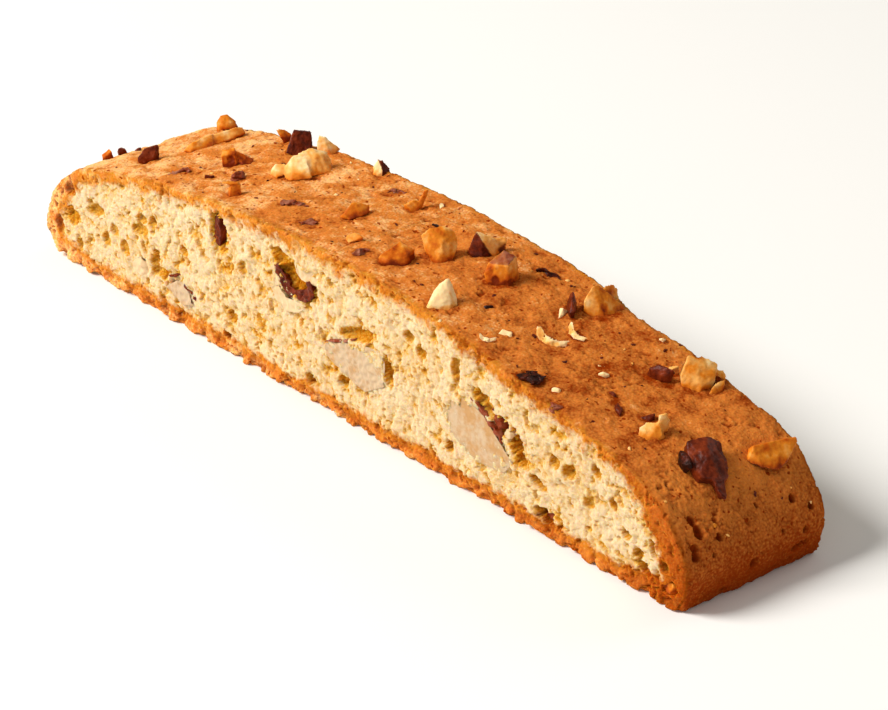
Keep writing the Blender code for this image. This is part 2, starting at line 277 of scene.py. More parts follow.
# %% Nuts on the crust, in millimetres and degrees
# shape, look, along, across, long, wide, rise, turn
TOPPINGS = (
    ("sliver", "tan", -43.7, 4.3, 10.0, 2.3, 1.3, 84),
    ("dome", "golden", -48.0, 9.6, 3.2, 2.4, 1.7, 60),
    ("chip", "orange", -53.8, -6.0, 1.8, 1.5, 1.3, 60),
    ("chip", "skin", -53.8, -3.6, 1.7, 1.4, 1.0, 60),
    ("blade", "skin", -45.6, -5.2, 3.0, 2.2, 1.6, 75),
    ("flake", "dusty_sheen", -37.0, -6.4, 4.2, 1.4, 0.4, 79),
    ("step", "orange", -33.2, 0.0, 3.4, 2.8, 1.9, 60),
    ("flake", "rusty", -28.6, -3.1, 2.8, 1.8, 0.7, 75),
    ("curl", "orange", -24.2, -7.6, 2.9, 2.7, 1.6, 60),
    ("cube", "maroon", -29.7, 8.1, 3.8, 3.3, 2.5, 60),
    ("splinter", "orange", -34.6, 9.4, 2.0, 1.4, 1.5, 60),
    ("folded", "cream", -22.9, 2.7, 7.4, 4.6, 2.6, 62),
    ("ramp", "cream", -26.4, 9.3, 3.2, 2.6, 2.0, 60),
    ("tooth", "half", -15.9, 9.9, 2.2, 2.0, 1.6, 60),
    ("flake", "dusty_sheen", -15.6, -4.7, 4.6, 1.3, 0.4, 40),
    ("flake", "dusty_sheen", -9.9, -7.2, 3.4, 2.8, 0.5, 150),
    ("shard", "amber", -7.2, -1.6, 4.2, 2.9, 1.5, 60),
    ("flake", "dusty_sheen", -9.8, 7.0, 3.8, 1.6, 0.35, 50),
    ("finger", "amber", -4.2, 5.8, 3.0, 2.4, 2.1, 60),
    ("chip", "amber", -1.4, -6.5, 2.4, 1.9, 1.0, 50),
    ("flake", "dusty_sheen", 1.8, -7.9, 3.0, 2.0, 0.6, 60),
    ("tile", "rust", 5.8, -5.9, 5.2, 3.8, 2.1, 60),
    ("shield", "peach", 8.4, -1.4, 4.4, 4.4, 3.1, 60),
    ("peak", "skinned", 11.2, 3.9, 5.2, 4.2, 2.6, 60),
    ("block", "bark", 16.8, 1.4, 4.9, 4.4, 3.0, 60),
    ("fin", "pale", 16.9, -8.2, 4.4, 4.6, 2.5, 60),
    ("flake", "soot", 18.5, 7.3, 5.0, 1.1, 0.5, 20),
    ("scoop", "hollowed", 28.0, 7.4, 5.6, 5.2, 3.0, 60),
    ("blade", "maroon", 26.5, 4.1, 3.2, 2.0, 1.8, 140),
    ("chip", "pale", 26.0, 2.8, 2.2, 1.2, 0.8, 100),
    ("chip", "pale", 25.7, -5.9, 2.0, 1.7, 0.7, 60),
    ("curlet", "cream", 29.6, -1.9, 4.0, 1.0, 0.6, 40),
    ("curlet", "cream", 30.5, 1.2, 2.9, 1.1, 0.6, 10),
    ("flake", "soot", 34.0, -9.6, 3.8, 3.0, 0.7, 20),
    ("blade", "maroon", 41.9, 3.6, 3.8, 2.9, 0.9, 20),
    ("slab", "buff", 45.2, 7.3, 5.6, 5.2, 2.6, 60),
    ("chip", "maroon", 43.4, -4.4, 3.3, 1.1, 0.5, -30),
    ("chip", "maroon", 46.4, -2.6, 2.3, 1.6, 0.7, 40),
    ("knob", "honey", 49.1, -4.0, 3.8, 3.5, 2.1, 60),
    ("shell", "bark_dark", 56.3, -2.7, 7.6, 4.6, 1.8, -25),
    ("blade", "soot", 54.2, -4.6, 4.2, 1.9, 1.2, -25),
    ("wedge", "ochre", 57.6, 6.4, 5.8, 3.4, 1.8, 75),
    ("chip", "orange", -30.6, 6.4, 1.5, 1.2, 1.0, 60),
    ("chip", "pale", -2.6, 8.3, 1.8, 1.1, 0.5, 60),
    ("chip", "soot", 1.8, 3.9, 1.9, 0.9, 0.3, 20),
    ("chip", "soot", 20.2, -3.7, 1.6, 0.8, 0.3, 60),
    ("curlet", "pale", 25.7, -8.7, 2.0, 0.9, 0.5, 60),
    ("chip", "pale", 36.6, 9.4, 1.2, 1.0, 0.4, 60),
    ("chip", "pale", 36.6, -0.4, 1.3, 0.8, 0.5, 60),
    ("chip", "pale", 37.9, -1.5, 1.8, 0.8, 0.5, 60),
    ("chip", "pale", 37.3, -8.4, 1.3, 1.0, 0.4, 60),
    ("flake", "rusty", 39.2, -10.6, 2.0, 1.6, 0.4, 60),
    ("chip", "golden", 41.8, 6.1, 1.6, 1.2, 1.0, 60),
    ("chip", "pale", 57.1, -8.8, 1.6, 0.7, 0.4, 90),
    ("chip", "maroon", -31.9, -5.6, 1.5, 0.9, 0.5, 60),
    ("chip", "golden", -30.1, -8.3, 1.4, 0.9, 0.3, 60),
    ("chip", "maroon", -53.4, -1.0, 1.8, 0.9, 0.5, 84),
    ("chip", "maroon", 41.2, -3.2, 1.4, 0.6, 0.3, 0),
)
print(len(TOPPINGS), "nuts and chips on the crust")

# %% [markdown]
# ## What is where on the crumb
# Nuts in the crumb were cut by the knife, so they are flush with the face, or a little behind
# it where the crumb tore away. A texture could scatter the holes, but it would put them through
# the nuts. The larger ones are given by place, size and depth instead, so that they sit round
# the nuts as on the real slice. Everything finer follows a rule.

# %% Nuts in the cut faces, in millimetres and degrees
# The front face is -1 and the back face is 1
# shape, look, face, along, up, long, high, turn in the face, level of the cut
INCLUSIONS = (
    ("lozenge", "blanched", -1, 26.3, 9.4, 13.0, 7.6, 0, 0.02),
    ("trapeze", "lilac", -1, 4.2, 9.0, 11.6, 6.4, 0, 0.04),
    ("crescent", "ivory", -1, -9.4, 12.8, 7.6, 4.4, 0, 0.0),
    ("chunk", "ivory", -1, -6.0, 17.0, 5.6, 3.6, -10, -0.2),
    ("hook", "wrinkled", -1, -8.2, 15.4, 8.6, 4.0, 0, -0.1),
    ("chunk", "lilac", -1, -31.8, 5.2, 6.4, 3.4, -5, 0.12),
    ("chunk", "ivory", -1, -39.9, 5.7, 3.6, 2.8, -5, 0.25),
    ("chunk", "wrinkled", -1, -23.5, 17.0, 1.9, 4.4, -4, -0.15),
    ("chunk", "wrinkled", -1, 38.6, 3.0, 2.2, 1.2, 0, -1.0),
    ("chunk", "rust", -1, 59.2, 2.6, 2.4, 1.8, 0, -0.3),
    ("thread", "rusty", -1, 28.2, 11.7, 7.4, 0.6, -34, 0.05),
    ("chunk", "rusty", -1, 29.8, 11.9, 2.4, 1.2, -40, -0.3),
    ("chunk", "ivory", -1, 31.6, 11.0, 1.6, 1.4, 10, -0.2),
    ("thread", "wrinkled", -1, 30.4, 13.6, 2.4, 0.6, 6, 0.0),
    ("thread", "dusty_sheen", -1, 1.0, 11.2, 6.0, 0.5, 20, 0.08),
    ("thread", "wrinkled", -1, -33.4, 6.9, 3.2, 0.4, 22, 0.05),
    ("thread", "wrinkled", -1, -29.6, 6.0, 3.4, 0.45, -36, 0.05),
    ("chunk", "ivory", 1, -38.0, 9.0, 7.0, 4.4, 30, 0.12),
    ("chunk", "blanched", 1, -12.0, 12.5, 9.0, 5.0, -20, 0.12),
    ("chunk", "wrinkled", 1, 3.0, 5.0, 4.4, 2.2, 50, -0.1),
    ("chunk", "lilac", 1, 19.0, 13.0, 6.0, 5.0, 75, 0.12),
    ("chunk", "blanched", 1, 44.0, 7.5, 8.0, 4.6, -40, 0.12),
)
print(len(INCLUSIONS), "cut nuts and skins")

# %% Holes in the cut faces and pits in the blunt end
# face, along, up, long, high, turn, depth
HOLES = (
    (-1, -7.4, 16.2, 9.0, 4.2, -20, 1.3),
    (-1, -4.6, 16.8, 3.0, 2.6, 30, 1.4),
    (-1, -10.6, 18.2, 3.4, 1.8, -30, 1.0),
    (-1, -22.8, 17.2, 3.4, 5.4, 8, 1.3),
    (-1, 28.0, 13.4, 4.8, 2.0, -34, 1.2),
    (-1, 30.8, 11.8, 2.6, 2.4, -40, 1.5),
    (-1, 33.4, 10.4, 2.4, 3.6, 20, 1.8),
    (-1, 34.2, 8.8, 1.8, 1.8, 0, 1.8),
    (-1, 10.4, 10.6, 1.4, 4.4, 10, 1.2),
    (-1, 4.6, 13.4, 7.6, 1.4, 16, 0.9),
    (-1, 1.6, 5.6, 1.8, 1.2, 20, 1.0),
    (-1, -4.9, 3.4, 1.4, 1.3, 0, 1.5),
    (-1, -46.0, 8.8, 1.6, 1.4, 0, 0.6),
    (-1, -47.9, 6.8, 1.4, 1.6, 0, 0.7),
    (-1, -53.8, 3.9, 1.3, 1.9, 0, 0.7),
    (-1, -43.6, 7.1, 1.8, 1.8, 0, 0.6),
    (-1, -39.7, 12.8, 1.6, 0.9, 10, 0.6),
    (-1, -40.2, 11.0, 3.0, 1.1, 8, 0.6),
    (-1, -37.0, 7.4, 1.5, 3.8, -8, 0.9),
    (-1, -35.4, 6.4, 1.8, 1.4, 30, 0.9),
    (-1, -55.4, 11.6, 2.0, 1.6, 20, 0.7),
    (-1, -50.2, 10.2, 3.2, 1.1, 14, 0.7),
    (-1, -55.4, 7.5, 2.2, 2.4, 0, 0.7),
    (-1, -58.6, 5.2, 1.4, 2.4, 0, 0.6),
    (-1, -30.8, 11.4, 1.4, 0.9, 0, 0.6),
    (-1, -18.0, 14.0, 1.0, 1.6, 0, 0.6),
    (-1, -20.7, 5.8, 1.8, 1.4, 0, 0.9),
    (-1, -22.0, 2.5, 1.0, 0.8, 0, 1.0),
    (-1, -37.5, 13.2, 1.0, 0.8, 0, 0.7),
    (-1, 14.0, 16.8, 1.6, 1.1, 0, 0.8),
    (-1, 16.4, 15.8, 1.3, 1.3, 0, 0.8),
    (-1, 22.8, 16.0, 0.9, 2.8, 10, 0.8),
    (-1, 21.8, 5.2, 0.9, 1.2, 0, 1.1),
    (-1, 38.6, 3.0, 3.2, 1.8, -10, 1.9),
    (-1, 40.1, 11.0, 1.6, 0.8, -20, 0.9),
    (-1, 42.6, 10.8, 1.8, 1.5, 30, 1.0),
    (-1, 37.4, 7.0, 2.4, 0.8, -25, 1.0),
    (-1, 47.0, 12.4, 1.6, 0.9, -30, 0.8),
    (-1, 45.8, 8.0, 1.2, 1.0, 0, 0.7),
    (-1, 50.0, 9.6, 1.0, 1.2, 0, 0.9),
    (-1, 52.4, 6.8, 1.3, 0.7, 0, 0.9),
    (-1, 54.3, 5.2, 1.6, 0.8, 30, 0.9),
    (-1, 55.2, 3.6, 2.2, 1.3, -20, 1.2),
    (-1, 56.8, 7.0, 0.8, 1.9, 20, 1.0),
    (-1, 58.6, 5.4, 1.2, 1.2, 0, 0.9),
    (-1, 60.0, 3.0, 1.4, 1.2, 0, 1.0),
    (1, -33.8, 11.0, 2.2, 2.0, 0, 1.2),
    (1, -6.4, 12.8, 2.0, 3.0, 0, 1.3),
    (1, 22.6, 12.0, 1.8, 2.4, 10, 1.2),
    (1, 30.0, 6.0, 2.6, 1.4, 20, 1.0),
    (1, -24.0, 6.4, 2.0, 1.4, -20, 1.0),
    (1, 48.4, 10.0, 2.0, 1.6, 0, 1.2),
    (1, -50.0, 8.0, 2.4, 1.6, 10, 1.0),
)
# across, up, radius
END_PITS = (
    (-0.3, 3.5, 0.50),
    (6.3, 3.0, 0.42),
    (7.0, 3.2, 0.36),
    (7.8, 3.3, 0.34),
    (7.5, 5.1, 0.34),
    (9.0, 7.4, 0.34),
    (-4.2, 0.9, 0.34),
    (-7.7, 9.5, 0.55),
    (-7.9, 10.6, 0.42),
    (-9.0, 8.2, 0.40),
    (-9.2, 7.4, 0.46),
    (-5.1, 8.3, 0.36),
    (-6.6, 6.8, 0.24),
    (6.7, 8.9, 0.36),
    (1.6, 9.6, 0.22),
    (4.2, 6.0, 0.20),
)
print(len(HOLES), "holes and", len(END_PITS), "pits")

# %% [markdown]
# ## Bare surfaces
# The bare slice is closed pieces that meet at their edges: two cut faces, and the crust and
# the base, each in a far and a near half. The solid's own mesh could be subdivided, but its
# triangles are uneven and would show as ridges in the relief. So each piece is an even fine
# grid, with a thin wall turned inwards behind it. Points on a shared edge are worked out the
# same way, so nothing gapes there.

# %% Slow ups and downs of the loaf
CRUST_SWELL, CRUST_SWELL_SIZE = 0.32, 13.0
CRUMB_SWELL, CRUMB_SWELL_SIZE = 0.35, 9.0
# How fast the layers of the crust's swell fade, how much finer each is, and how many there are
SWELL_LAYERS = (0.8, 2.0, 2)


def broad_swell(points, cut):
    """The loaf's slow ups and downs, the same as in the solid."""
    heights = np.empty(len(points))
    for i, point in enumerate(points):
        place = Vector(point)
        on_crust = CRUST_SWELL * noise.fractal(place / CRUST_SWELL_SIZE, *SWELL_LAYERS)
        in_crumb = CRUMB_SWELL * noise.noise(place / CRUMB_SWELL_SIZE)
        heights[i] = on_crust + (in_crumb - on_crust) * cut[i]
    return heights


print("the crust swells by", CRUST_SWELL, "mm and the crumb by", CRUMB_SWELL, "mm")

# %% Facts of a cut face
HOLE_MARGIN = 0.7
RIM_FADE = 0.8
NEST_SHARE = 0.8
NEST_SHARES = {"hook": 0, "thread": 0, "crescent": 0.5}
DEEPEST_NEST = -0.5


def ellipse(dx, dy, half_long, half_wide, turn):
    """How far out points lie in a turned ellipse: 0 at its centre and 1 on its rim."""
    angle = math.radians(turn)
    u = (dx * math.cos(angle) + dy * math.sin(angle)) / half_long
    v = (dy * math.cos(angle) - dx * math.sin(angle)) / half_wide
    return np.sqrt(u * u + v * v)


def face_facts(points, to_edge):
    """Where a cut face has a hole, how deep, and where it has the nest of a nut."""
    side = np.sign(points[0, 0, 1])
    hole, depth, nest = (np.zeros(points.shape[:2]) for _ in range(3))
    for face, x, z, long, high, turn, deep in HOLES:
        if face == side:
            half = (long + HOLE_MARGIN) / 2, (high + HOLE_MARGIN) / 2
            inside = 1 - ellipse(points[..., 0] - x, points[..., 2] - z, *half, turn)
            depth = np.where(inside > hole, deep, depth)
            hole = np.maximum(hole, inside)
    for shape, _, face, x, z, long, high, turn, level in INCLUSIONS:
        share = NEST_SHARES.get(shape, NEST_SHARE)
        if face == side and level > DEEPEST_NEST and share:
            half = long * share / 2, high * share / 2
            inside = 1 - ellipse(points[..., 0] - x, points[..., 2] - z, *half, turn)
            nest = np.maximum(nest, inside)
    fade = np.clip(to_edge / RIM_FADE, 0, 1)
    return {"hole": hole * fade, "hole_depth": depth, "nest": nest * fade}


print("a hole's rim is torn", HOLE_MARGIN / 2, "mm wide, and a nest is", NEST_SHARE, "of its nut")

# %% Facts of the crust
NUT_MARGIN = 0.4
NUT_FADE = 0.25
LOWEST_NUT = 3
PIT_SPREAD = 2.0
PITS_FROM = 52


def fading(distance, reach):
    """1 where a distance is nought, down to 0 where it comes to its reach."""
    return np.clip(1 - distance / reach, 0, 1)


def crust_facts(points):
    """Where the crust touches a nut, and the pits in the blunt end."""
    near_nut, pit = np.zeros(points.shape[:2]), np.zeros(points.shape[:2])
    for _, _, x, y, long, wide, _, turn in TOPPINGS:
        dx, dy = points[..., 0] - x, points[..., 1] - y
        dx = np.sign(dx) * np.hypot(dx, points[..., 2] - np.interp(x, *crown.T))
        away = ellipse(dx, dy, long / 2 + NUT_MARGIN, wide / 2 + NUT_MARGIN, turn)
        touched = np.clip((1 - away) / NUT_FADE, 0, 1) * (points[..., 2] > LOWEST_NUT)
        near_nut = np.maximum(near_nut, touched)
    for y, z, radius in END_PITS:
        away = np.hypot(points[..., 1] - y, points[..., 2] - z)
        sunk = fading(away, radius * PIT_SPREAD) * (points[..., 0] > PITS_FROM)
        pit = np.maximum(pit, sunk)
    return {"near_nut": near_nut, "pit": pit}


print("pits lie beyond", PITS_FROM, "mm from the middle")

# %% Soft edges, and the way out
CUT_FADE = 1.3
LOW_HEIGHT = 3.0
CALM_REACH = 1.8
CALM, LESS_CALM_LOW = 0.55, 0.35
EDGE_REACH = 3.0
SWELL_FROM_BASE = 1.5
FLARE_POWER = 6


def place_in_slice(points, across, push, nearness, cut):
    """Points moved to the soft edges, with the loaf's slow shape and its flared blunt end."""
    points = points - push * (EDGE_PULL * nearness**2)[..., None]
    swell = broad_swell(points.reshape(-1, 3), cut.reshape(-1)).reshape(cut.shape)
    points += push * (swell * np.clip(points[..., 2] / SWELL_FROM_BASE, 0, 1))[..., None]
    share = np.clip(points[..., 0] / LENGTH + 0.5, 0, 1)
    upright = 1 - points[..., 2] / CROWN_HEIGHT / 2
    lean = share**FLARE_POWER * (across / THICKNESS + 0.5) * upright
    points[..., 0] += NEAR_END_FLARE * lean
    return points


def finish_surface(section, across, inside):
    """Bend a grid to the soft edges; give each point its way out and its facts."""
    distance, index = nearest_on_ring(section)
    if inside:
        distance[[0, -1], :] = 0
        distance[:, [0, -1]] = 0
        to_edge, cut, rind = distance, np.ones_like(distance), distance
    else:
        to_edge = THICKNESS / 2 - np.abs(across)
        cut = fading(to_edge, CUT_FADE)
        rind = np.zeros_like(to_edge)
    section = section + ring_shift[index] * fading(distance, CORNER_SOFTNESS)[..., None]
    nearness = fading(to_edge, EDGE_RADIUS)
    face_way = np.sign(across) if inside else np.sign(across) * nearness
    ring_way = (nearness if inside else np.ones_like(nearness))[..., None] * ring_out[index]
    push = np.stack([ring_way[..., 0], face_way, ring_way[..., 1]], axis=-1)
    push /= np.linalg.norm(push, axis=-1, keepdims=True)
    points = np.stack([section[..., 0], across, section[..., 1]], axis=-1)
    low = fading(points[..., 2], LOW_HEIGHT)
    calm = fading(to_edge, CALM_REACH) * (CALM - LESS_CALM_LOW * low)
    facts = {"push": push, "cut": cut, "rind": rind, "calm": calm, "low": low * cut}
    facts["edge"] = fading(to_edge, EDGE_REACH)
    facts |= face_facts(points, to_edge) if inside else crust_facts(points)
    return place_in_slice(points, across, push, nearness, cut), facts


print("edges are rounded over", EDGE_RADIUS, "mm")

# %% Closed pieces from grids
WALL_DEPTH = 2.4
WALL_INSET = 1.0


def make_piece(name, places, faces):
    """A smooth mesh object from points in millimetres."""
    mesh = bpy.data.meshes.new(name)
    mesh.from_pydata((np.asarray(places) * MM).tolist(), [], faces)
    mesh.shade_smooth()
    piece = bpy.data.objects.new(name, mesh)
    bpy.context.scene.collection.objects.link(piece)
    return piece


def keep_facts(mesh, facts, total):
    """Store values on the first points of a mesh, and nought on the rest."""
    for name, values in facts.items():
        width = 3 if values.ndim == 3 else 1
        layer = mesh.attributes.new(name, "FLOAT_VECTOR" if width == 3 else "FLOAT", "POINT")
        full = np.zeros((total, width), np.float32)
        full[: values.size // width] = values.reshape(-1, width)
        layer.data.foreach_set("vector" if width == 3 else "value", full.reshape(-1))


def turn_outward(mesh):
    """Flip a closed mesh whose faces point in."""
    mesh.calc_loop_triangles()
    places = np.empty(len(mesh.vertices) * 3)
    mesh.vertices.foreach_get("co", places)
    tris = np.empty(len(mesh.loop_triangles) * 3, int)
    mesh.loop_triangles.foreach_get("vertices", tris)
    a, b, c = places.reshape(-1, 3)[tris.reshape(-1, 3)].transpose(1, 0, 2)
    if np.einsum("ij,ij->i", a, np.cross(b, c)).sum() < 0:
        mesh.flip_normals()


def closed_piece(name, points, facts, inward):
    """A mesh from a grid of points, closed behind by walls and a ruled strip."""
    rows, cols = points.shape[:2]
    number = np.arange(rows * cols).reshape(rows, cols)
    edge = np.concatenate([number[:-1, 0], number[-1, :-1], number[:0:-1, -1], number[0, :0:-1]])
    inner_of = dict(zip(edge.tolist(), range(rows * cols, rows * cols + len(edge))))
    quads = np.stack([number[:-1, :-1], number[1:, :-1], number[1:, 1:], number[:-1, 1:]], -1)
    faces = quads.reshape(-1, 4).tolist()
    step = np.roll(edge, -1)
    faces += [[b, a, inner_of[a], inner_of[b]] for a, b in zip(edge.tolist(), step.tolist())]
    first = [inner_of[i] for i in number[:, 0].tolist()]
    last = [inner_of[i] for i in number[:, -1].tolist()]
    faces += [[first[i + 1], first[i], last[i], last[i + 1]] for i in range(rows - 1)]
    faces.append([inner_of[i] for i in number[0].tolist()])
    faces.append([inner_of[i] for i in number[-1, ::-1].tolist()])
    flat = points.reshape(-1, 3)
    places = np.vstack([flat, flat[edge] + inward.reshape(-1, 3)[edge]])
    piece = make_piece(name, places, faces)
    keep_facts(piece.data, facts, len(places))
    turn_outward(piece.data)
    return piece


print("walls reach", WALL_DEPTH, "mm in")

# %% The four bare surfaces
CELLS_ALONG = 741
CELLS_UP = 131
CELLS_ACROSS = 141
HEART_HEIGHT = 0.42 * CROWN_HEIGHT
LEAST_REACH = 0.1


def make_bare(name, section, across, inside):
    """A bare surface: a cut face is one closed piece, the others are a far and a near half."""
    points, facts = finish_surface(section, across, inside)
    if inside:
        towards = np.array([0.0, 0.0, HEART_HEIGHT]) - points
        towards[..., 1] = 0
        reach = np.linalg.norm(towards, axis=-1, keepdims=True)
        inward = WALL_INSET * towards / reach.clip(LEAST_REACH)
        inward[..., 1] = -np.sign(across) * WALL_DEPTH
        return [closed_piece(name, points, facts, inward)]
    inward = -facts["push"] * WALL_DEPTH
    inward[..., 1] = -np.sign(across) * WALL_INSET
    middle = len(points) // 2
    halves = []
    for half, rows in (("far", slice(0, middle + 1)), ("near", slice(middle, None))):
        own = {key: values[rows] for key, values in facts.items()}
        halves.append(closed_piece(f"{name}_{half}", points[rows], own, inward[rows]))
    return halves


def ruled(line):
    """A grid that runs a line straight across the slice."""
    section = np.repeat(line[:, None], CELLS_ACROSS, axis=1)
    across = np.linspace(-THICKNESS / 2, THICKNESS / 2, CELLS_ACROSS)
    return section, np.broadcast_to(across, section.shape[:2]).copy()


over_the_top = [
    along_line(far_end, np.linspace(0, 1, CELLS_UP)),
    along_line(crown, np.linspace(0, 1, CELLS_ALONG))[1:],
    along_line(near_end, np.linspace(1, 0, CELLS_UP))[1:],
]
strip_section = np.vstack(over_the_top)
base_section = along_line(base, np.linspace(0, 1, CELLS_ALONG))
face_section = slice_patch(CELLS_ALONG, CELLS_UP)
front_across = np.full(face_section.shape[:2], -THICKNESS / 2)
crust = make_bare("crust", *ruled(strip_section), False)
DOUGH = [
    *make_bare("crumb_front", face_section, front_across, True),
    *make_bare("crumb_back", face_section, -front_across, True),
    *make_bare("underside", *ruled(base_section), False),
    *crust,
]
for piece in DOUGH:
    print(piece.name, len(piece.data.polygons), "faces")

# %% [markdown]
# ## Relief
# Crumb is dough that rose round small bubbles and then set dry. It reads as rounded grains
# under a millimetre across, with ragged pores between them. The crust closed over, so it has
# only fine pebbles, slow lumps, dimples, thin cracks and a few pits. A bump map could paint
# them, but the edges would stay smooth and the pores would cast no shadow. Both follow a rule,
# so one Geometry Nodes tree makes them: it moves each point outwards by a height that is built
# from noise and cells, and keeps how deep the point lies. The colours paint shade by that
# depth in hollows, and light on tops.

# %% Helpers for any node tree
FLOAT = "NodeSocketFloat"
VECTOR = "NodeSocketVector"
COLOUR = "NodeSocketColor"
GEOMETRY = "NodeSocketGeometry"


def new_tree(name, kind, inputs, outputs):
    """An empty node group with named sockets."""
    tree = bpy.data.node_groups.new(name, kind)
    for label, socket, value in inputs:
        made = tree.interface.new_socket(label, in_out="INPUT", socket_type=socket)
        if value is not None:
            made.default_value = value
    for label, socket in outputs:
        tree.interface.new_socket(label, in_out="OUTPUT", socket_type=socket)
    return tree, tree.nodes.new("NodeGroupInput").outputs, tree.nodes.new("NodeGroupOutput").inputs


def node(tree, kind, inputs=None, **settings):
    """Add a node, set its properties, and link or fill its inputs."""
    made = tree.nodes.new(kind)
    for setting, value in settings.items():
        setattr(made, setting, value)
    for key, value in (inputs or {}).items():
        if isinstance(value, bpy.types.NodeSocket):
            tree.links.new(value, made.inputs[key])
        else:
            made.inputs[key].default_value = value
    return made


def maths(tree, operation, a, b=0.0, c=0.0):
    return node(tree, "ShaderNodeMath", {0: a, 1: b, 2: c}, operation=operation).outputs[0]


def scaled(tree, vector, factor):
    inputs = {0: vector, "Scale": factor}
    return node(tree, "ShaderNodeVectorMath", inputs, operation="SCALE").outputs[0]


def vector_maths(tree, operation, a, b):
    return node(tree, "ShaderNodeVectorMath", {0: a, 1: b}, operation=operation).outputs[0]


def between(tree, share, a, b):
    return node(tree, "ShaderNodeMix", {0: share, 2: a, 3: b}, data_type="FLOAT").outputs[0]


# %% Helpers for noise, cells and steps
ROUND_TOP = 0.3


def soft_step(tree, value, low, high):
    """A soft step from 0 to 1 while a value goes from one level to another."""
    inputs = {0: value, 1: low, 2: high}
    return node(tree, "ShaderNodeMapRange", inputs, interpolation_type="SMOOTHSTEP").outputs[0]


def per_mm(tree, size):
    """How many of a size go into a millimetre; the size is a number or a socket."""
    return maths(tree, "DIVIDE", 1.0, size) if isinstance(size, bpy.types.NodeSocket) else 1 / size


def noise_of(tree, vector, size, detail=0.0, roughness=0.5, output=0):
    """Noise whose bumps are about so many millimetres across."""
    inputs = {"Vector": vector, "Scale": per_mm(tree, size), "Detail": detail}
    return node(tree, "ShaderNodeTexNoise", inputs | {"Roughness": roughness}).outputs[output]


def cells_of(tree, vector, size):
    """Distance to the middle of the nearest cell, as a share of a cell."""
    inputs = {"Vector": vector, "Scale": per_mm(tree, size)}
    return node(tree, "ShaderNodeTexVoronoi", inputs).outputs["Distance"]


def centred(tree, value, height):
    """A value from 0 to 1 as a height above or below nought."""
    return maths(tree, "MULTIPLY", maths(tree, "SUBTRACT", value, 0.5), height)


def bumps(tree, vector, size, height, detail=0.0, roughness=0.5):
    """Noise as heights above or below nought."""
    return centred(tree, noise_of(tree, vector, size, detail, roughness), height)


def spots(tree, vector, size, levels, detail=0.0, roughness=0.5):
    """Spots that start and are full at two levels of noise."""
    return soft_step(tree, noise_of(tree, vector, size, detail, roughness), *levels)


def wandering(tree, vector, size, detail=0.0):
    """A random way, half a unit long at most on each axis."""
    way = noise_of(tree, vector, size, detail, output=1)
    return vector_maths(tree, "SUBTRACT", way, (0.5, 0.5, 0.5))


def rounded(tree, cell):
    """Round tops from the distance to the middle of a cell."""
    return maths(tree, "SUBTRACT", ROUND_TOP, maths(tree, "POWER", cell, 2.0))


# %% Helpers for geometry trees


def position_in_mm(tree):
    return scaled(tree, tree.nodes.new("GeometryNodeInputPosition").outputs[0], 1 / MM)


def attribute(tree, name, kind="FLOAT"):
    """A fact that is kept on the mesh."""
    made = node(tree, "GeometryNodeInputNamedAttribute", {"Name": name}, data_type=kind)
    return made.outputs["Attribute"]


def stored(tree, geometry_socket, name, value):
    """The same mesh with one more fact on it."""
    inputs = {"Geometry": geometry_socket, "Name": name, "Value": value}
    made = node(tree, "GeometryNodeStoreNamedAttribute", inputs, data_type="FLOAT", domain="POINT")
    return made.outputs[0]


# %% Lumps, grains and pores of the crumb
# Bumps are size, height, detail. Levels are where a feature starts and where it is full.
# A shade is how much deeper a feature makes a point look: how much painted shade its colour gets. A
# shade below nought is painted light, as on the tops of clumps.
CRUMB_WAVES = (4.5, 0.8, 1.0)
CLUMP_SIZE, CLUMP_DETAIL, CLUMP_SHADE = 2.3, 2.0, -0.40
LUMP_SHADE_LEVELS, LUMP_SHADE = (0.4, 0.8), 0.22
GRAIN_SHADE = 0.32
PORE_DETAIL, PORE_LEVELS = (3.0, 0.6), (0.57, 0.66)
PORE_PAINTED_SHADE_LEVELS, PORE_SHADE = (0.53, 0.62), 0.5
PINHOLE_LEVELS, PINHOLE_DETAIL, PINHOLE_SHADE = (0.60, 0.70), 1.0, 0.5
NO_SHADE_BELOW = 0.2
ANOTHER_PLACE = (7.3, 2.1, 5.9)


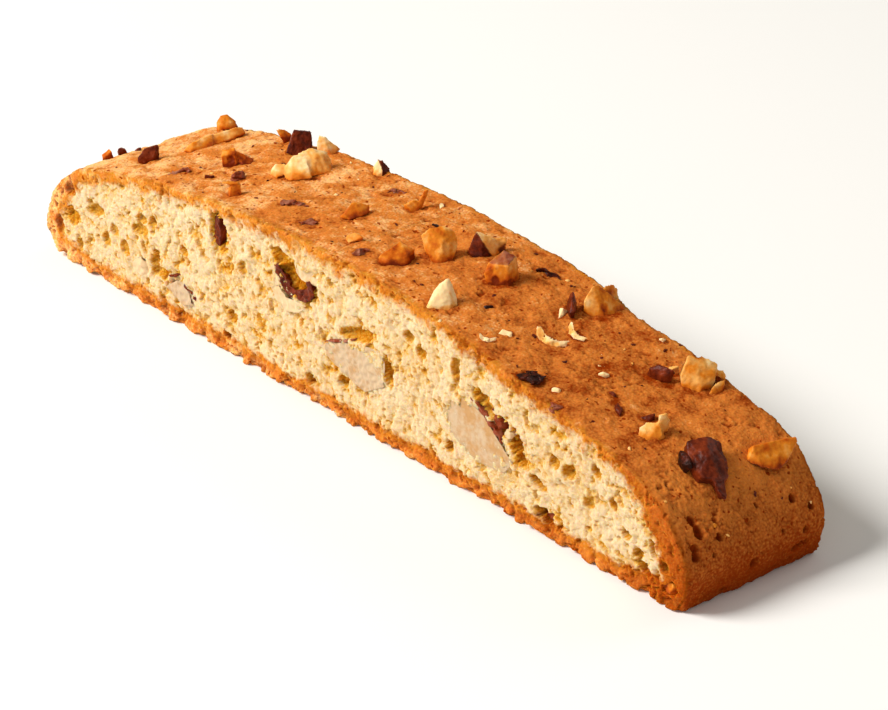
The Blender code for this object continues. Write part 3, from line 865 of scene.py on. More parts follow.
def open_crumb(tree, given, place, bent):
    """Height of lumps, grains and pores, and how deep among them each point lies."""
    lump = cells_of(tree, bent, given["Lump size"])
    grain = cells_of(tree, place, given["Grain size"])
    pore_noise = noise_of(tree, bent, given["Pore size"], *PORE_DETAIL)
    pores = soft_step(tree, pore_noise, *PORE_LEVELS)
    apart = vector_maths(tree, "ADD", bent, ANOTHER_PLACE)
    pinholes = spots(tree, apart, given["Pinhole size"], PINHOLE_LEVELS, PINHOLE_DETAIL)
    clumps = bumps(tree, apart, CLUMP_SIZE, given["Clump height"], CLUMP_DETAIL)

    height = maths(tree, "ADD", clumps, bumps(tree, place, *CRUMB_WAVES))
    height = maths(tree, "MULTIPLY_ADD", rounded(tree, lump), given["Lump height"], height)
    height = maths(tree, "MULTIPLY_ADD", rounded(tree, grain), given["Grain height"], height)
    sunk = maths(tree, "MULTIPLY", pores, given["Pore depth"])
    sunk = maths(tree, "MULTIPLY_ADD", pinholes, given["Pinhole depth"], sunk)

    # Painted shade in pores, between grains and between lumps, and painted light on high clumps
    depth = maths(tree, "MULTIPLY", soft_step(tree, pore_noise, *PORE_PAINTED_SHADE_LEVELS), PORE_SHADE)
    depth = maths(tree, "MULTIPLY_ADD", grain, GRAIN_SHADE, depth)
    far_from_lump = soft_step(tree, lump, *LUMP_SHADE_LEVELS)
    depth = maths(tree, "MULTIPLY_ADD", far_from_lump, LUMP_SHADE, depth)
    depth = maths(tree, "SUBTRACT", depth, NO_SHADE_BELOW)
    depth = maths(tree, "MULTIPLY_ADD", clumps, CLUMP_SHADE, depth)
    depth = maths(tree, "MAXIMUM", depth, maths(tree, "MULTIPLY", pinholes, PINHOLE_SHADE))
    return maths(tree, "SUBTRACT", height, sunk), depth


# %% Torn holes and the nests of nuts
TORN_EDGE = (0.8, 1.5, 2.0)
# The last levels here and the next line give the painted shade in torn holes, more for deeper ones
HOLE_RIM_LEVELS, HOLE_LEVELS, HOLE_PAINTED_SHADE_LEVELS = (0.0, 0.06), (0.0, 0.42), (-0.12, 0.16)
SHALLOW_HOLE_PAINTED_SHADE, HOLE_PAINTED_SHADE_BY_DEPTH, FULL_HOLE_PAINTED_SHADE = 0.7, 0.4, 1.1
NEST_RIM_LEVELS, NEST_LEVELS = (0.0, 0.05), (0.0, 0.25)
NEST_DEPTH, NEST_RELIEF = 0.9, 0.4


def tear_holes(tree, bent, height):
    """Height with torn holes and nests in it, and how much painted shade the holes get."""
    ragged = bumps(tree, bent, *TORN_EDGE)
    hole, hole_depth, nest = (attribute(tree, key) for key in ("hole", "hole_depth", "nest"))
    torn = maths(tree, "ADD", hole, ragged)
    inside = soft_step(tree, hole, *HOLE_RIM_LEVELS)
    dip = maths(tree, "MULTIPLY", soft_step(tree, torn, *HOLE_LEVELS), inside)
    height = maths(tree, "SUBTRACT", height, maths(tree, "MULTIPLY", dip, hole_depth))
    painted_hole_shade = maths(tree, "MULTIPLY", soft_step(tree, torn, *HOLE_PAINTED_SHADE_LEVELS), inside)
    how_dark = maths(tree, "MULTIPLY_ADD", hole_depth, HOLE_PAINTED_SHADE_BY_DEPTH, SHALLOW_HOLE_PAINTED_SHADE)
    painted_hole_shade = maths(tree, "MULTIPLY", painted_hole_shade, maths(tree, "MINIMUM", how_dark, FULL_HOLE_PAINTED_SHADE))
    in_nest = soft_step(tree, maths(tree, "ADD", nest, ragged), *NEST_LEVELS)
    in_nest = maths(tree, "MULTIPLY", in_nest, soft_step(tree, nest, *NEST_RIM_LEVELS))
    bed = maths(tree, "MULTIPLY_ADD", height, NEST_RELIEF, -NEST_DEPTH)
    return between(tree, in_nest, height, bed), painted_hole_shade


# %% Relief of the crumb
HOLE_SHADE = 0.66
CRAG_SIZE, CRAG_LEVELS, CRAG_DETAIL = 1.9, (0.44, 0.62), 1.0
CRAG_DEPTH, CRAG_SHADE = 0.8, 0.7


def crumb_relief(tree, given, place, bent):
    """Height of the crumb, craggy at the base, and how deep in a pore each point lies."""
    height, depth = open_crumb(tree, given, place, bent)
    height, painted_hole_shade = tear_holes(tree, bent, height)
    crag = spots(tree, bent, CRAG_SIZE, CRAG_LEVELS, CRAG_DETAIL)
    crag = maths(tree, "MULTIPLY", crag, attribute(tree, "low"))
    height = maths(tree, "MULTIPLY_ADD", crag, -CRAG_DEPTH, height)
    keep = maths(tree, "SUBTRACT", 1.0, attribute(tree, "calm"))
    # Holes and crags get painted shade
    depth = maths(tree, "MAXIMUM", depth, maths(tree, "MULTIPLY", painted_hole_shade, HOLE_SHADE))
    depth = maths(tree, "MAXIMUM", depth, maths(tree, "MULTIPLY", crag, CRAG_SHADE))
    return maths(tree, "MULTIPLY", height, keep), depth


# %% Relief of the crust
# Shades paint the crust darker in dimples, cracks, pits and between pebbles, as painted shade, and
# lighter on its slow lumps, as painted light
CRUST_LUMP_SIZE, CRUST_LUMP_DETAIL, CRUST_LUMP_SHADE = 3.4, (3.0, 0.6), -0.9
PEBBLE_SIZE, PEBBLE_SHADE_LEVELS, PEBBLE_SHADE = 0.6, (0.4, 0.7), 0.2
SAND_SIZE, SAND_DETAIL = 0.5, 1.0
ROUGH_SIZE, ROUGH_LEVELS, ROUGH_DETAIL, LEAST_ROUGH = 6.0, (0.44, 0.60), 2.0, 0.35
CRACK_NOISE, CRACK_WIDTH = (3.6, 1.0, 2.0, 0.55), 0.020
CRACK_DEPTH, CRACK_SHADE = 0.10, 0.45
DIMPLE_NOISE = (1.8, (0.57, 0.70), 3.0, 0.6)
DIMPLE_DEPTH, DIMPLE_SHADE = 0.30, 0.7
PIT_LEVELS, PIT_DEPTH = (0.25, 0.50), 0.8
NUT_DIP = 0.05


def crust_relief(tree, given, place, bent):
    """Height of the crust, and how deep in a crack or pit each point lies."""
    slow = bumps(tree, bent, CRUST_LUMP_SIZE, given["Crust lump"], *CRUST_LUMP_DETAIL)
    cell = cells_of(tree, place, PEBBLE_SIZE)
    sand = bumps(tree, place, SAND_SIZE, given["Crust grain"], SAND_DETAIL)
    rough = spots(tree, place, ROUGH_SIZE, ROUGH_LEVELS, ROUGH_DETAIL)
    rough = maths(tree, "MAXIMUM", rough, attribute(tree, "edge"))
    some = maths(tree, "MULTIPLY_ADD", rough, 1 - LEAST_ROUGH, LEAST_ROUGH)
    crack = maths(tree, "ABSOLUTE", bumps(tree, bent, *CRACK_NOISE))
    crack = maths(tree, "MULTIPLY", soft_step(tree, crack, CRACK_WIDTH, 0.0), rough)
    dimple = maths(tree, "MULTIPLY", spots(tree, bent, *DIMPLE_NOISE), some)
    pit = soft_step(tree, attribute(tree, "pit"), *PIT_LEVELS)
    near_nut = attribute(tree, "near_nut")

    pebbles = maths(tree, "MULTIPLY", rounded(tree, cell), some)
    height = maths(tree, "MULTIPLY_ADD", pebbles, given["Crust pebble"], slow)
    height = maths(tree, "ADD", height, sand)
    depths = ((crack, CRACK_DEPTH), (dimple, DIMPLE_DEPTH), (pit, PIT_DEPTH), (near_nut, NUT_DIP))
    for hollow, sunk in depths:
        height = maths(tree, "MULTIPLY_ADD", hollow, -sunk, height)

    # Painted shade in dimples, between pebbles, in cracks and in pits; painted light on slow lumps
    depth = maths(tree, "MULTIPLY", dimple, DIMPLE_SHADE)
    depth = maths(tree, "MULTIPLY_ADD", slow, CRUST_LUMP_SHADE, depth)
    between_pebbles = soft_step(tree, cell, *PEBBLE_SHADE_LEVELS)
    depth = maths(tree, "MULTIPLY_ADD", between_pebbles, PEBBLE_SHADE, depth)
    depth = maths(tree, "MAXIMUM", depth, maths(tree, "MULTIPLY", crack, CRACK_SHADE))
    return height, maths(tree, "MAXIMUM", depth, pit)


# %% The relief tree
BEND_SIZE, BEND_DETAIL, BEND = 1.0, 2.0, 0.9
RELIEF_SIZES = [
    ("Clump height", FLOAT, 1.00),
    ("Lump size", FLOAT, 1.10),
    ("Lump height", FLOAT, 0.30),
    ("Grain size", FLOAT, 0.60),
    ("Grain height", FLOAT, 0.22),
    ("Pore size", FLOAT, 1.7),
    ("Pore depth", FLOAT, 0.45),
    ("Pinhole size", FLOAT, 0.75),
    ("Pinhole depth", FLOAT, 0.22),
    ("Crust lump", FLOAT, 1.20),
    ("Crust pebble", FLOAT, 0.16),
    ("Crust grain", FLOAT, 0.06),
]


def make_relief_tree():
    """Push each point outwards by its height, and keep how deep it lies for the painted shade."""
    inputs = [("Geometry", GEOMETRY, None)] + RELIEF_SIZES
    name = "crumb and crust relief"
    tree, given, result = new_tree(name, "GeometryNodeTree", inputs, [("Geometry", GEOMETRY)])
    place = position_in_mm(tree)
    wander = wandering(tree, place, BEND_SIZE, BEND_DETAIL)
    bent = vector_maths(tree, "ADD", place, scaled(tree, wander, BEND))
    crumb, crumb_depth = crumb_relief(tree, given, place, bent)
    skin, skin_depth = crust_relief(tree, given, place, bent)
    cut = attribute(tree, "cut")
    height = maths(tree, "MULTIPLY", between(tree, cut, skin, crumb), MM)
    move = scaled(tree, attribute(tree, "push", "FLOAT_VECTOR"), height)
    kept = stored(tree, given["Geometry"], "depth", between(tree, cut, skin_depth, crumb_depth))
    moved = node(tree, "GeometryNodeSetPosition", {"Geometry": kept, "Offset": move}).outputs[0]
    tree.links.new(moved, result["Geometry"])
    return tree


# %% The relief put on the bare surfaces


def apply_tree(piece, tree, values=None):
    """Run a Geometry Nodes tree on a piece and keep the plain mesh that comes out."""
    modifier = piece.modifiers.new(tree.name, "NODES")
    modifier.node_group = tree
    for item in tree.interface.items_tree:
        if item.in_out == "INPUT" and item.name in (values or {}):
            modifier[item.identifier] = values[item.name]
    graph = bpy.context.evaluated_depsgraph_get()
    mesh = bpy.data.meshes.new_from_object(piece.evaluated_get(graph))
    piece.modifiers.clear()
    piece.data = mesh


def keep_above_floor(piece):
    """Lift what lies under the floor to it, and give the places of all points."""
    places = np.empty(len(piece.data.vertices) * 3)
    piece.data.vertices.foreach_get("co", places)
    places[2::3] = np.maximum(places[2::3], 0.0)
    piece.data.vertices.foreach_set("co", places)
    piece.data.update()
    return places.reshape(-1, 3)


relief_tree = make_relief_tree()
for piece in DOUGH:
    apply_tree(piece, relief_tree)
    heights = keep_above_floor(piece)[:, 2] / MM
    print(piece.name, "reaches from", round(heights.min(), 1), "to", round(heights.max(), 1), "mm")

# %% [markdown]
# ## Finish of the dough
# Dry crumb lets some light in. Its lumps are creamy, and its pores and the gaps between its
# grains are painted amber for their shade and glow, with painted light on the grain tops.
# Towards the outside of the loaf it browns: a band of golden crumbs, then the crust. The crust
# is browner towards the blunt end, partly as painted shade, with painted light on the end's
# shoulder. It is redder in its dimples, cracks and pits as painted shade, and round the nuts as
# painted contact shade and burnt crust. Two separate materials would meet in a hard line. One
# way of making them serves both here: it reads the facts kept on the mesh, so crumb, band and
# crust run into each other in ragged patches.

# %% Colours shared by the baked surfaces


def ramp(tree, value, stops):
    """The colour for a value, from stops that each have a place and a colour."""
    made = node(tree, "ShaderNodeValToRGB", {"Fac": value})
    elements = made.color_ramp.elements
    while len(elements) < len(stops):
        elements.new(0.5)
    for element, (place, colour) in zip(elements, stops):
        element.position = place
        element.color = (*colour, 1.0)
    return made.outputs["Color"]


def blend_colour(tree, share, a, b):
    return node(tree, "ShaderNodeMix", {0: share, 6: a, 7: b}, data_type="RGBA").outputs[2]


def make_place_group():
    """Object coordinates in millimetres."""
    tree, _, result = new_tree("place in millimetres", "ShaderNodeTree", [], [("Place", VECTOR)])
    metres = tree.nodes.new("ShaderNodeTexCoord").outputs["Object"]
    tree.links.new(scaled(tree, metres, 1 / MM), result["Place"])
    return tree


place_group = make_place_group()
print("group:", place_group.name)

# %% The colour of browned dough
# Mottles are size, height, detail. Specks are size, levels, detail.
SLOW_MOTTLE, QUICK_MOTTLE, MIDDLE_TONE = (8.0, 0.75, 2.0), (2.2, 1.1, 2.0), 0.45
# The grain's cells are the sand bump's cells: their lighter middles are painted light on the bump
# tops, their darker edges painted shade; its noise is the dough's own grain
GRAIN_SHADING_CELL, GRAIN_SIZE, GRAIN_AND_SHADING_TONE = 0.34, 0.30, 0.6
MIDDLE_LEVELS, DARK_LEVELS, HOLLOW_LEVELS = (0.1, 0.55), (0.5, 1.15), (0.10, 0.9)
SPECKS = (0.75, (0.665, 0.73), 1.0)


def make_browning_group():
    """The colour of browned dough: lighter where it is thin, darker with painted shade in hollows,
    with painted light on its sand tops.
    """
    inputs = [
        ("Light", COLOUR, (0.80, 0.36, 0.11, 1)),
        ("Middle", COLOUR, (0.58, 0.20, 0.045, 1)),
        ("Dark", COLOUR, (0.25, 0.055, 0.008, 1)),
        ("Depth", FLOAT, 0.0),
        ("Shift", FLOAT, 0.0),
        ("Mottle", FLOAT, 1.0),
    ]
    tree, given, result = new_tree("browned dough", "ShaderNodeTree", inputs, [("Color", COLOUR)])
    dark = given["Dark"]
    place = node(tree, "ShaderNodeGroup", node_tree=place_group).outputs[0]
    tone = maths(tree, "ADD", bumps(tree, place, *SLOW_MOTTLE), bumps(tree, place, *QUICK_MOTTLE))
    tone = maths(tree, "MULTIPLY_ADD", tone, given["Mottle"], MIDDLE_TONE)
    grain = noise_of(tree, place, GRAIN_SIZE)
    # Cells as in the sand bump: painted light on its tops and painted shade between them
    grain = maths(tree, "ADD", cells_of(tree, place, GRAIN_SHADING_CELL), grain)
    grain = centred(tree, maths(tree, "MULTIPLY", grain, 0.5), GRAIN_AND_SHADING_TONE)
    tone = maths(tree, "ADD", maths(tree, "ADD", tone, grain), given["Shift"])
    browner = soft_step(tree, tone, *MIDDLE_LEVELS)
    colour = blend_colour(tree, browner, given["Light"], given["Middle"])
    colour = blend_colour(tree, soft_step(tree, tone, *DARK_LEVELS), colour, dark)
    # Painted shade: deep points turn dark brown
    colour = blend_colour(tree, soft_step(tree, given["Depth"], *HOLLOW_LEVELS), colour, dark)
    colour = blend_colour(tree, spots(tree, place, *SPECKS), colour, dark)
    tree.links.new(colour, result["Color"])
    return tree


browning_group = make_browning_group()
print("group:", browning_group.name)

# %% Helpers for materials
SCATTER_LENGTH = 1.0 * MM


def new_material(name, roughness, gloss, subsurface, radius):
    """A material, its tree and its shader."""
    material = bpy.data.materials.new(name)
    material.use_nodes = True
    shader = material.node_tree.nodes["Principled BSDF"]
    shader.inputs["Roughness"].default_value = roughness
    shader.inputs["Specular IOR Level"].default_value = gloss
    shader.inputs["Subsurface Weight"].default_value = subsurface
    shader.inputs["Subsurface Radius"].default_value = radius
    shader.inputs["Subsurface Scale"].default_value = SCATTER_LENGTH
    return material, material.node_tree, shader


def fact(tree, name):
    """A fact on the mesh, read by a material."""
    return node(tree, "ShaderNodeAttribute", attribute_name=name).outputs["Fac"]


def bumped(tree, shader, height, strength, distance):
    """Give a shader fine bumps that the mesh is too coarse for."""
    inputs = {"Strength": strength, "Distance": distance, "Height": height}
    tree.links.new(node(tree, "ShaderNodeBump", inputs).outputs[0], shader.inputs["Normal"])


def browned(tree, light, middle, dark, depth, shift, mottle):
    """The colour that the browning group gives for three browns and a shift."""
    inputs = {"Light": light, "Middle": middle, "Dark": dark, "Depth": depth}
    inputs |= {"Shift": shift, "Mottle": mottle}
    return node(tree, "ShaderNodeGroup", inputs, node_tree=browning_group).outputs[0]


# %% Brown of the crust
# Stretches along the slice from its middle, or up from its base, in millimetres
PALE_BROWN, PALE_BROWN_AT_END = (0.88, 0.47, 0.180, 1), (0.86, 0.28, 0.035, 1)
MIDDLE_BROWN, DARK_BROWN = (0.62, 0.188, 0.030, 1), (0.25, 0.030, 0.001, 1)
END_COLOUR_ALONG = (44.0, 58.0)
EVEN_ALONG, LESS_MOTTLE = (50.0, 58.0), 0.75
# Browner towards the blunt end: partly real browning, partly painted shade where the crust turns away
# from the lamp
BROWNER_AND_SHADED_PER_MM, BROWN_SHIFT = 0.0045, 0.09
# The blunt end is painted darker low down and lighter at its top, as shade and light
END_ALONG, END_SHADE_UP, END_SHADE, END_TOP = (54.0, 62.0), (10.0, 1.0), 0.34, -0.06
# Painted light on the shoulder where the top turns down into the blunt end
SHOULDER_ALONG, SHOULDER_UP, SHOULDER_PAINTED_LIGHT = (48.0, 57.0), (8.0, 14.0), -0.28
# Round the foot of each nut the crust is painted darker: contact shade and burnt crust
NUT_EDGE, NUT_EDGE_LEVELS, NUT_SHADE = (0.8, 1.0), (0.3, 1.0), 0.25


def crust_shift(tree, place, along, up):
    """How much darker the crust is: browning and painted shade to the blunt end, painted light on its
    shoulder, painted contact shade and burnt crust round nuts.
    """
    shift = maths(tree, "MULTIPLY_ADD", along, BROWNER_AND_SHADED_PER_MM, BROWN_SHIFT)
    end = maths(tree, "MULTIPLY_ADD", soft_step(tree, up, *END_SHADE_UP), END_SHADE, END_TOP)
    shift = maths(tree, "MULTIPLY_ADD", soft_step(tree, along, *END_ALONG), end, shift)
    # Painted light on the shoulder of the blunt end
    shoulder = maths(tree, "MULTIPLY", soft_step(tree, along, *SHOULDER_ALONG), SHOULDER_PAINTED_LIGHT)
    shoulder = maths(tree, "MULTIPLY", soft_step(tree, up, *SHOULDER_UP), shoulder)
    shift = maths(tree, "ADD", shift, shoulder)
    # Painted contact shade and burnt crust round the nuts
    near_nut = maths(tree, "ADD", fact(tree, "near_nut"), bumps(tree, place, *NUT_EDGE))
    near_nut = maths(tree, "MULTIPLY", soft_step(tree, near_nut, *NUT_EDGE_LEVELS), NUT_SHADE)
    return maths(tree, "ADD", shift, near_nut)


def crust_brown(tree, place, along, up, depth):
    """Mottled brown that is more even and redder at the blunt end."""
    end_colour = soft_step(tree, along, *END_COLOUR_ALONG)
    light = blend_colour(tree, end_colour, PALE_BROWN, PALE_BROWN_AT_END)
    mottle = maths(tree, "MULTIPLY_ADD", soft_step(tree, along, *EVEN_ALONG), -LESS_MOTTLE, 1.0)
    shift = crust_shift(tree, place, along, up)
    return browned(tree, light, MIDDLE_BROWN, DARK_BROWN, depth, shift, mottle)


# %% Cream of the crumb and its browned rim
# Cream at low tone, through amber to dark brown; painted shade in pores and between grains raises the
# tone
CREAM = (
    (0.0, (0.65, 0.495, 0.295)),
    (0.30, (0.61, 0.385, 0.155)),
    (0.58, (0.58, 0.285, 0.036)),
    (0.80, (0.48, 0.175, 0.006)),
    (1.0, (0.32, 0.080, 0.002)),
)
# Crumb cells paint light on the middles of fine grains and shade between them
CREAM_PATCHES, CRUMB_CELL, CRUMB_CELL_TONE = (5.0, 0.7, 2.0), 0.32, 0.35
GOLDEN_BROWNS = ((0.69, 0.355, 0.090, 1), (0.56, 0.190, 0.016, 1), (0.28, 0.050, 0.001, 1))
GOLD_PER_MM, GOLD_SHIFT = 0.002, 0.18
NEAR_ENDS, WIDER_AT_ENDS = (50.0, 62.0), 3.2
NEAR_BASE, WIDER_AT_BASE = (4.5, 1.0), 1.6
GOLDEN_RIND, TOASTED_RIND, TOASTED = (2.4, 0.8), (0.8, -0.6), 0.8
SCORCHED_ALONG, SCORCHED_RIND, SCORCHED = (51.0, 58.0), (2.0, 0.6), 0.55
SCORCH = (0.34, 0.060, 0.002, 1)


def crumb_cream(tree, place, depth):
    """Cream on the lumps of the crumb, amber in its pores as painted shade and glow."""
    tone = maths(tree, "ADD", depth, bumps(tree, place, *CREAM_PATCHES))
    # Lighter cell middles and darker cell edges: painted light on fine grains and painted shade
    # between them
    grains = centred(tree, cells_of(tree, place, CRUMB_CELL), CRUMB_CELL_TONE)
    return ramp(tree, maths(tree, "ADD", tone, grains), CREAM)


def face_colour(tree, place, along, up, depth, ragged, brown):
    """Cream, then golden, toasted and scorched crumbs towards the rim of the face."""
    face = crumb_cream(tree, place, depth)
    shift = maths(tree, "MULTIPLY_ADD", along, GOLD_PER_MM, GOLD_SHIFT)
    golden = browned(tree, *GOLDEN_BROWNS, depth, shift, 1.0)
    near_ends = soft_step(tree, maths(tree, "ABSOLUTE", along), *NEAR_ENDS)
    rind = maths(tree, "ADD", fact(tree, "rind"), ragged)
    rind = maths(tree, "MULTIPLY_ADD", near_ends, -WIDER_AT_ENDS, rind)
    near_base = soft_step(tree, up, *NEAR_BASE)
    rind = maths(tree, "MULTIPLY_ADD", near_base, -WIDER_AT_BASE, rind)
    face = blend_colour(tree, soft_step(tree, rind, *GOLDEN_RIND), face, golden)
    toasted = maths(tree, "MULTIPLY", soft_step(tree, rind, *TOASTED_RIND), TOASTED)
    face = blend_colour(tree, toasted, face, brown)
    scorched = maths(tree, "MULTIPLY", soft_step(tree, along, *SCORCHED_ALONG), SCORCHED)
    scorched = maths(tree, "MULTIPLY", soft_step(tree, rind, *SCORCHED_RIND), scorched)
    return blend_colour(tree, scorched, face, SCORCH)


# %% The baked finish
BAKED_ROUGHNESS, BAKED_GLOSS = 0.85, 0.02
RAGGED = (1.9, 5.2, 3.0, 0.65)
RAGGED_CUT, CUT_LEVELS = 0.2, (0.3, 0.9)
SAND_NOISE, SAND_CELL = (0.22, 1.0), 0.34
# How much light gets in, how far its red, green and blue get, and the height of the sand
CRUMB_LOOK = (0.8, (1.0, 0.6, 0.22), 0.07)
CRUST_LOOK = (0.35, (1.0, 0.45, 0.15), 0.05)


def make_baked_material(name, subsurface, radius, sand):
    """The finish of the dough; the facts on the mesh say which part is crumb or crust."""
    look = BAKED_ROUGHNESS, BAKED_GLOSS, subsurface, radius
    material, tree, shader = new_material(name, *look)
    place = node(tree, "ShaderNodeGroup", node_tree=place_group).outputs[0]
    along, _, up = node(tree, "ShaderNodeSeparateXYZ", {0: place}).outputs
    depth = fact(tree, "depth")
    ragged = bumps(tree, place, *RAGGED)
    brown = crust_brown(tree, place, along, up, depth)
    face = face_colour(tree, place, along, up, depth, ragged, brown)
    cut = maths(tree, "MULTIPLY_ADD", ragged, RAGGED_CUT, fact(tree, "cut"))
    colour = blend_colour(tree, soft_step(tree, cut, *CUT_LEVELS), brown, face)
    tree.links.new(colour, shader.inputs["Base Color"])
    sandy = noise_of(tree, place, *SAND_NOISE)
    sandy = maths(tree, "SUBTRACT", sandy, cells_of(tree, place, SAND_CELL))
    bumped(tree, shader, sandy, 1.0, sand * MM)
    return material


def finish(piece, material):
    """Give a piece its material, hang it on the body it rides on, and hide the solid part it
    replaces.
    """
    piece.data.materials.clear()
    piece.data.materials.append(material)
    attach(piece, BODY)
    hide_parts(SLICE_NODE)


crumb_finish = make_baked_material("crumb", *CRUMB_LOOK)
crust_finish = make_baked_material("crust", *CRUST_LOOK)
for piece in DOUGH:
    finish(piece, crumb_finish if piece.name.startswith("crumb") else crust_finish)
print("baked finish on", len(DOUGH), "pieces")

# %% [markdown]
# ## Chopped almonds
# A chopped almond is a hard kernel that a blade has split: flat faces, sharp at first and then
# rounded by the oven, some hollowed where it broke. A rough ball pushed about by noise would
# look like gravel. So a few corner points say where the faces meet. Their hull is wrapped in a
# fine even skin of small cells, so that lobes melt together, bites can be pressed in, and the
# edges can be worn down.

# %% Corner points of the nuts with a shape of their own
# Right, away and up as the camera sees the nut, in millimetres from where it touches the crust
SHAPES = {
    "sliver": (
        (
            (-5.0, 0.0, 0.3), (-4.2, -0.9, 0.1), (-4.0, 0.8, 0.3), (-3.4, -0.3, 1.1),
            (-1.0, -1.2, -0.2), (-1.0, 1.0, 0.1), (0.0, 0.1, 1.3), (-3.6, 0.0, -0.6),
        ),
        (
            (-2.0, -0.7, 0.0), (-1.6, 0.8, 0.2), (-1.5, 0.2, 1.1), (3.0, -0.6, 0.2),
            (3.0, 1.0, 0.3), (3.4, 0.2, 1.2), (4.9, 0.6, 0.9), (4.9, -0.3, 0.3), (3.8, 0.3, -0.6),
        ),
    ),
    "dome": (
        (
            (-1.5, 0.0, -0.5), (-1.3, 0.0, 0.9), (-0.6, 0.0, 1.7), (0.4, 0.0, 1.7), (1.4, 0.0, 0.7),
            (1.7, 0.0, -0.4), (0.0, -1.0, 0.2), (0.0, 1.0, 0.4), (-0.8, -0.7, 0.9), (0.7, -0.6, 0.8),
        ),
    ),
    "blade": (
        (
            (-1.5, 0.2, -0.4), (1.4, 0.0, -0.4), (-1.2, -0.2, 0.9), (-0.2, 0.3, 1.5), (1.6, 0.1, 1.7),
            (1.7, 0.4, 1.2), (0.2, -0.5, 0.2), (0.4, 0.7, 0.2), (-1.4, 0.4, 0.6), (0.9, -0.4, 0.9),
        ),
    ),
    "step": (
        (
            (-2.0, -0.6, -0.5), (-1.7, 0.6, -0.3), (-2.1, -0.5, 1.4), (-1.7, 0.5, 1.8),
            (-0.2, -0.5, 1.6), (0.0, 0.6, 1.9), (-0.2, -0.9, -0.3), (0.0, 0.7, -0.3),
        ),
        (
            (-0.4, -0.6, -0.4), (-0.3, 0.8, -0.4), (-0.2, 0.3, 1.7), (0.9, 0.1, 1.1),
            (2.2, 0.2, 0.3), (2.0, -0.6, -0.2), (1.4, 0.8, -0.2), (0.6, -0.9, 0.1),
        ),
    ),
    "curl": (
        (
            (-0.9, -0.6, -0.5), (0.9, -0.6, -0.5), (-0.7, 0.5, -0.3), (0.9, 0.6, -0.3),
            (-0.4, -0.4, 1.1), (0.9, -0.2, 1.2), (0.8, 0.5, 1.3), (-0.5, 0.4, 1.2),
        ),
        (
            (-1.6, -0.1, 1.7), (-1.5, 0.3, 1.8), (-0.4, -0.3, 1.5), (0.6, -0.3, 1.5),
            (1.1, 0.1, 1.0), (0.9, 0.5, 1.5), (-0.4, 0.5, 1.7), (0.2, 0.1, 1.1),
        ),
    ),
    "cube": (
        (
            (-2.3, -1.0, 0.2), (-0.6, -1.3, -0.5), (-1.0, -0.2, 2.4), (1.4, -0.2, 2.0),
            (1.2, -1.0, 0.2), (-1.8, 1.0, 0.2), (1.2, 1.1, 0.2), (-0.7, 0.9, 2.3),
            (1.3, 0.8, 1.9), (0.0, 0.0, -0.8),
        ),
    ),
    "splinter": (
        (
            (-1.3, 0.0, 1.7), (-1.0, 0.1, 1.8), (0.7, 0.0, 0.3), (0.8, 0.3, 1.0), (-0.3, -0.3, 0.6),
            (-0.2, 0.3, 1.3), (0.5, 0.0, -0.6), (-0.4, 0.0, -0.5),
        ),
    ),
    "folded": (
        (
            (-0.4, 0.6, 2.4), (1.4, 0.9, 2.8), (3.5, 1.0, 2.0), (3.9, 0.5, 1.0), (3.6, -0.9, 0.0),
            (0.6, -1.5, 0.0), (0.2, -0.5, 1.7), (3.0, 1.6, 0.2), (0.0, 1.6, 0.2), (2.4, -0.2, 1.9),
        ),
        (
            (-2.6, -0.9, 0.0), (-2.0, -1.8, 0.0), (0.9, -1.9, 0.0), (0.6, -1.3, 1.2),
            (0.3, 0.3, 2.4), (-1.2, 0.3, 2.3), (-2.5, 0.3, 0.9), (0.6, 0.8, 0.3),
        ),
        (
            (-4.3, 0.3, 0.4), (-3.7, -0.6, 0.1), (-2.5, -0.5, 0.3), (-2.2, 0.5, 1.5),
            (-3.4, 0.7, 1.5), (-4.0, 0.9, 0.8), (-2.5, 1.2, 0.5),
        ),
    ),
    "ramp": (
        (
            (-1.1, -0.5, -0.4), (-1.0, 0.4, -0.4), (-1.0, -0.2, 1.6), (-0.6, 0.2, 2.2),
            (0.1, 0.0, 2.0), (0.8, -0.2, 1.1), (2.0, -0.1, 0.3), (1.8, 0.5, -0.1),
            (0.6, -0.8, -0.2), (0.2, -0.7, 0.9), (0.4, 0.9, -0.2),
        ),
    ),
    "tooth": (
        (
            (-1.1, -0.2, -0.4), (-0.9, 0.5, 0.7), (-0.3, 0.2, 1.7), (0.3, 0.1, 1.6), (1.2, 0.3, 0.4),
            (0.2, -0.7, -0.4), (1.2, -0.1, -0.3), (0.0, 0.8, -0.3), (0.1, -0.6, 0.6),
        ),
    ),
    "shard": (
        (
            (-2.1, -0.3, 0.1), (-1.6, -0.6, 0.6), (-0.3, 0.2, 1.6), (0.3, 0.3, 1.5), (1.9, 0.5, 1.0),
            (1.9, -0.1, 0.3), (0.6, -1.0, 0.3), (-1.0, -1.1, 0.0), (-1.0, 0.6, 0.0), (1.0, 1.2, 0.1),
            (0.0, 0.0, -0.8),
        ),
    ),
    "finger": (
        (
            (-0.2, -0.2, 0.3), (0.6, -0.3, 0.2), (0.2, 0.4, 0.3), (0.8, 0.3, 0.3), (1.1, 0.1, 2.3),
            (1.7, 0.1, 2.5), (1.3, 0.5, 2.3), (1.8, 0.4, 2.1),
        ),
        (
            (-1.7, 0.0, 0.9), (-1.2, -0.4, 1.0), (0.0, -1.0, -0.5), (0.5, -0.4, 0.7),
            (-0.3, 0.0, 1.4), (0.4, 0.1, 1.2), (-0.6, 0.4, -0.2), (-1.4, -0.2, 0.1),
        ),
    ),
}
print(len(SHAPES), "drawn shapes")

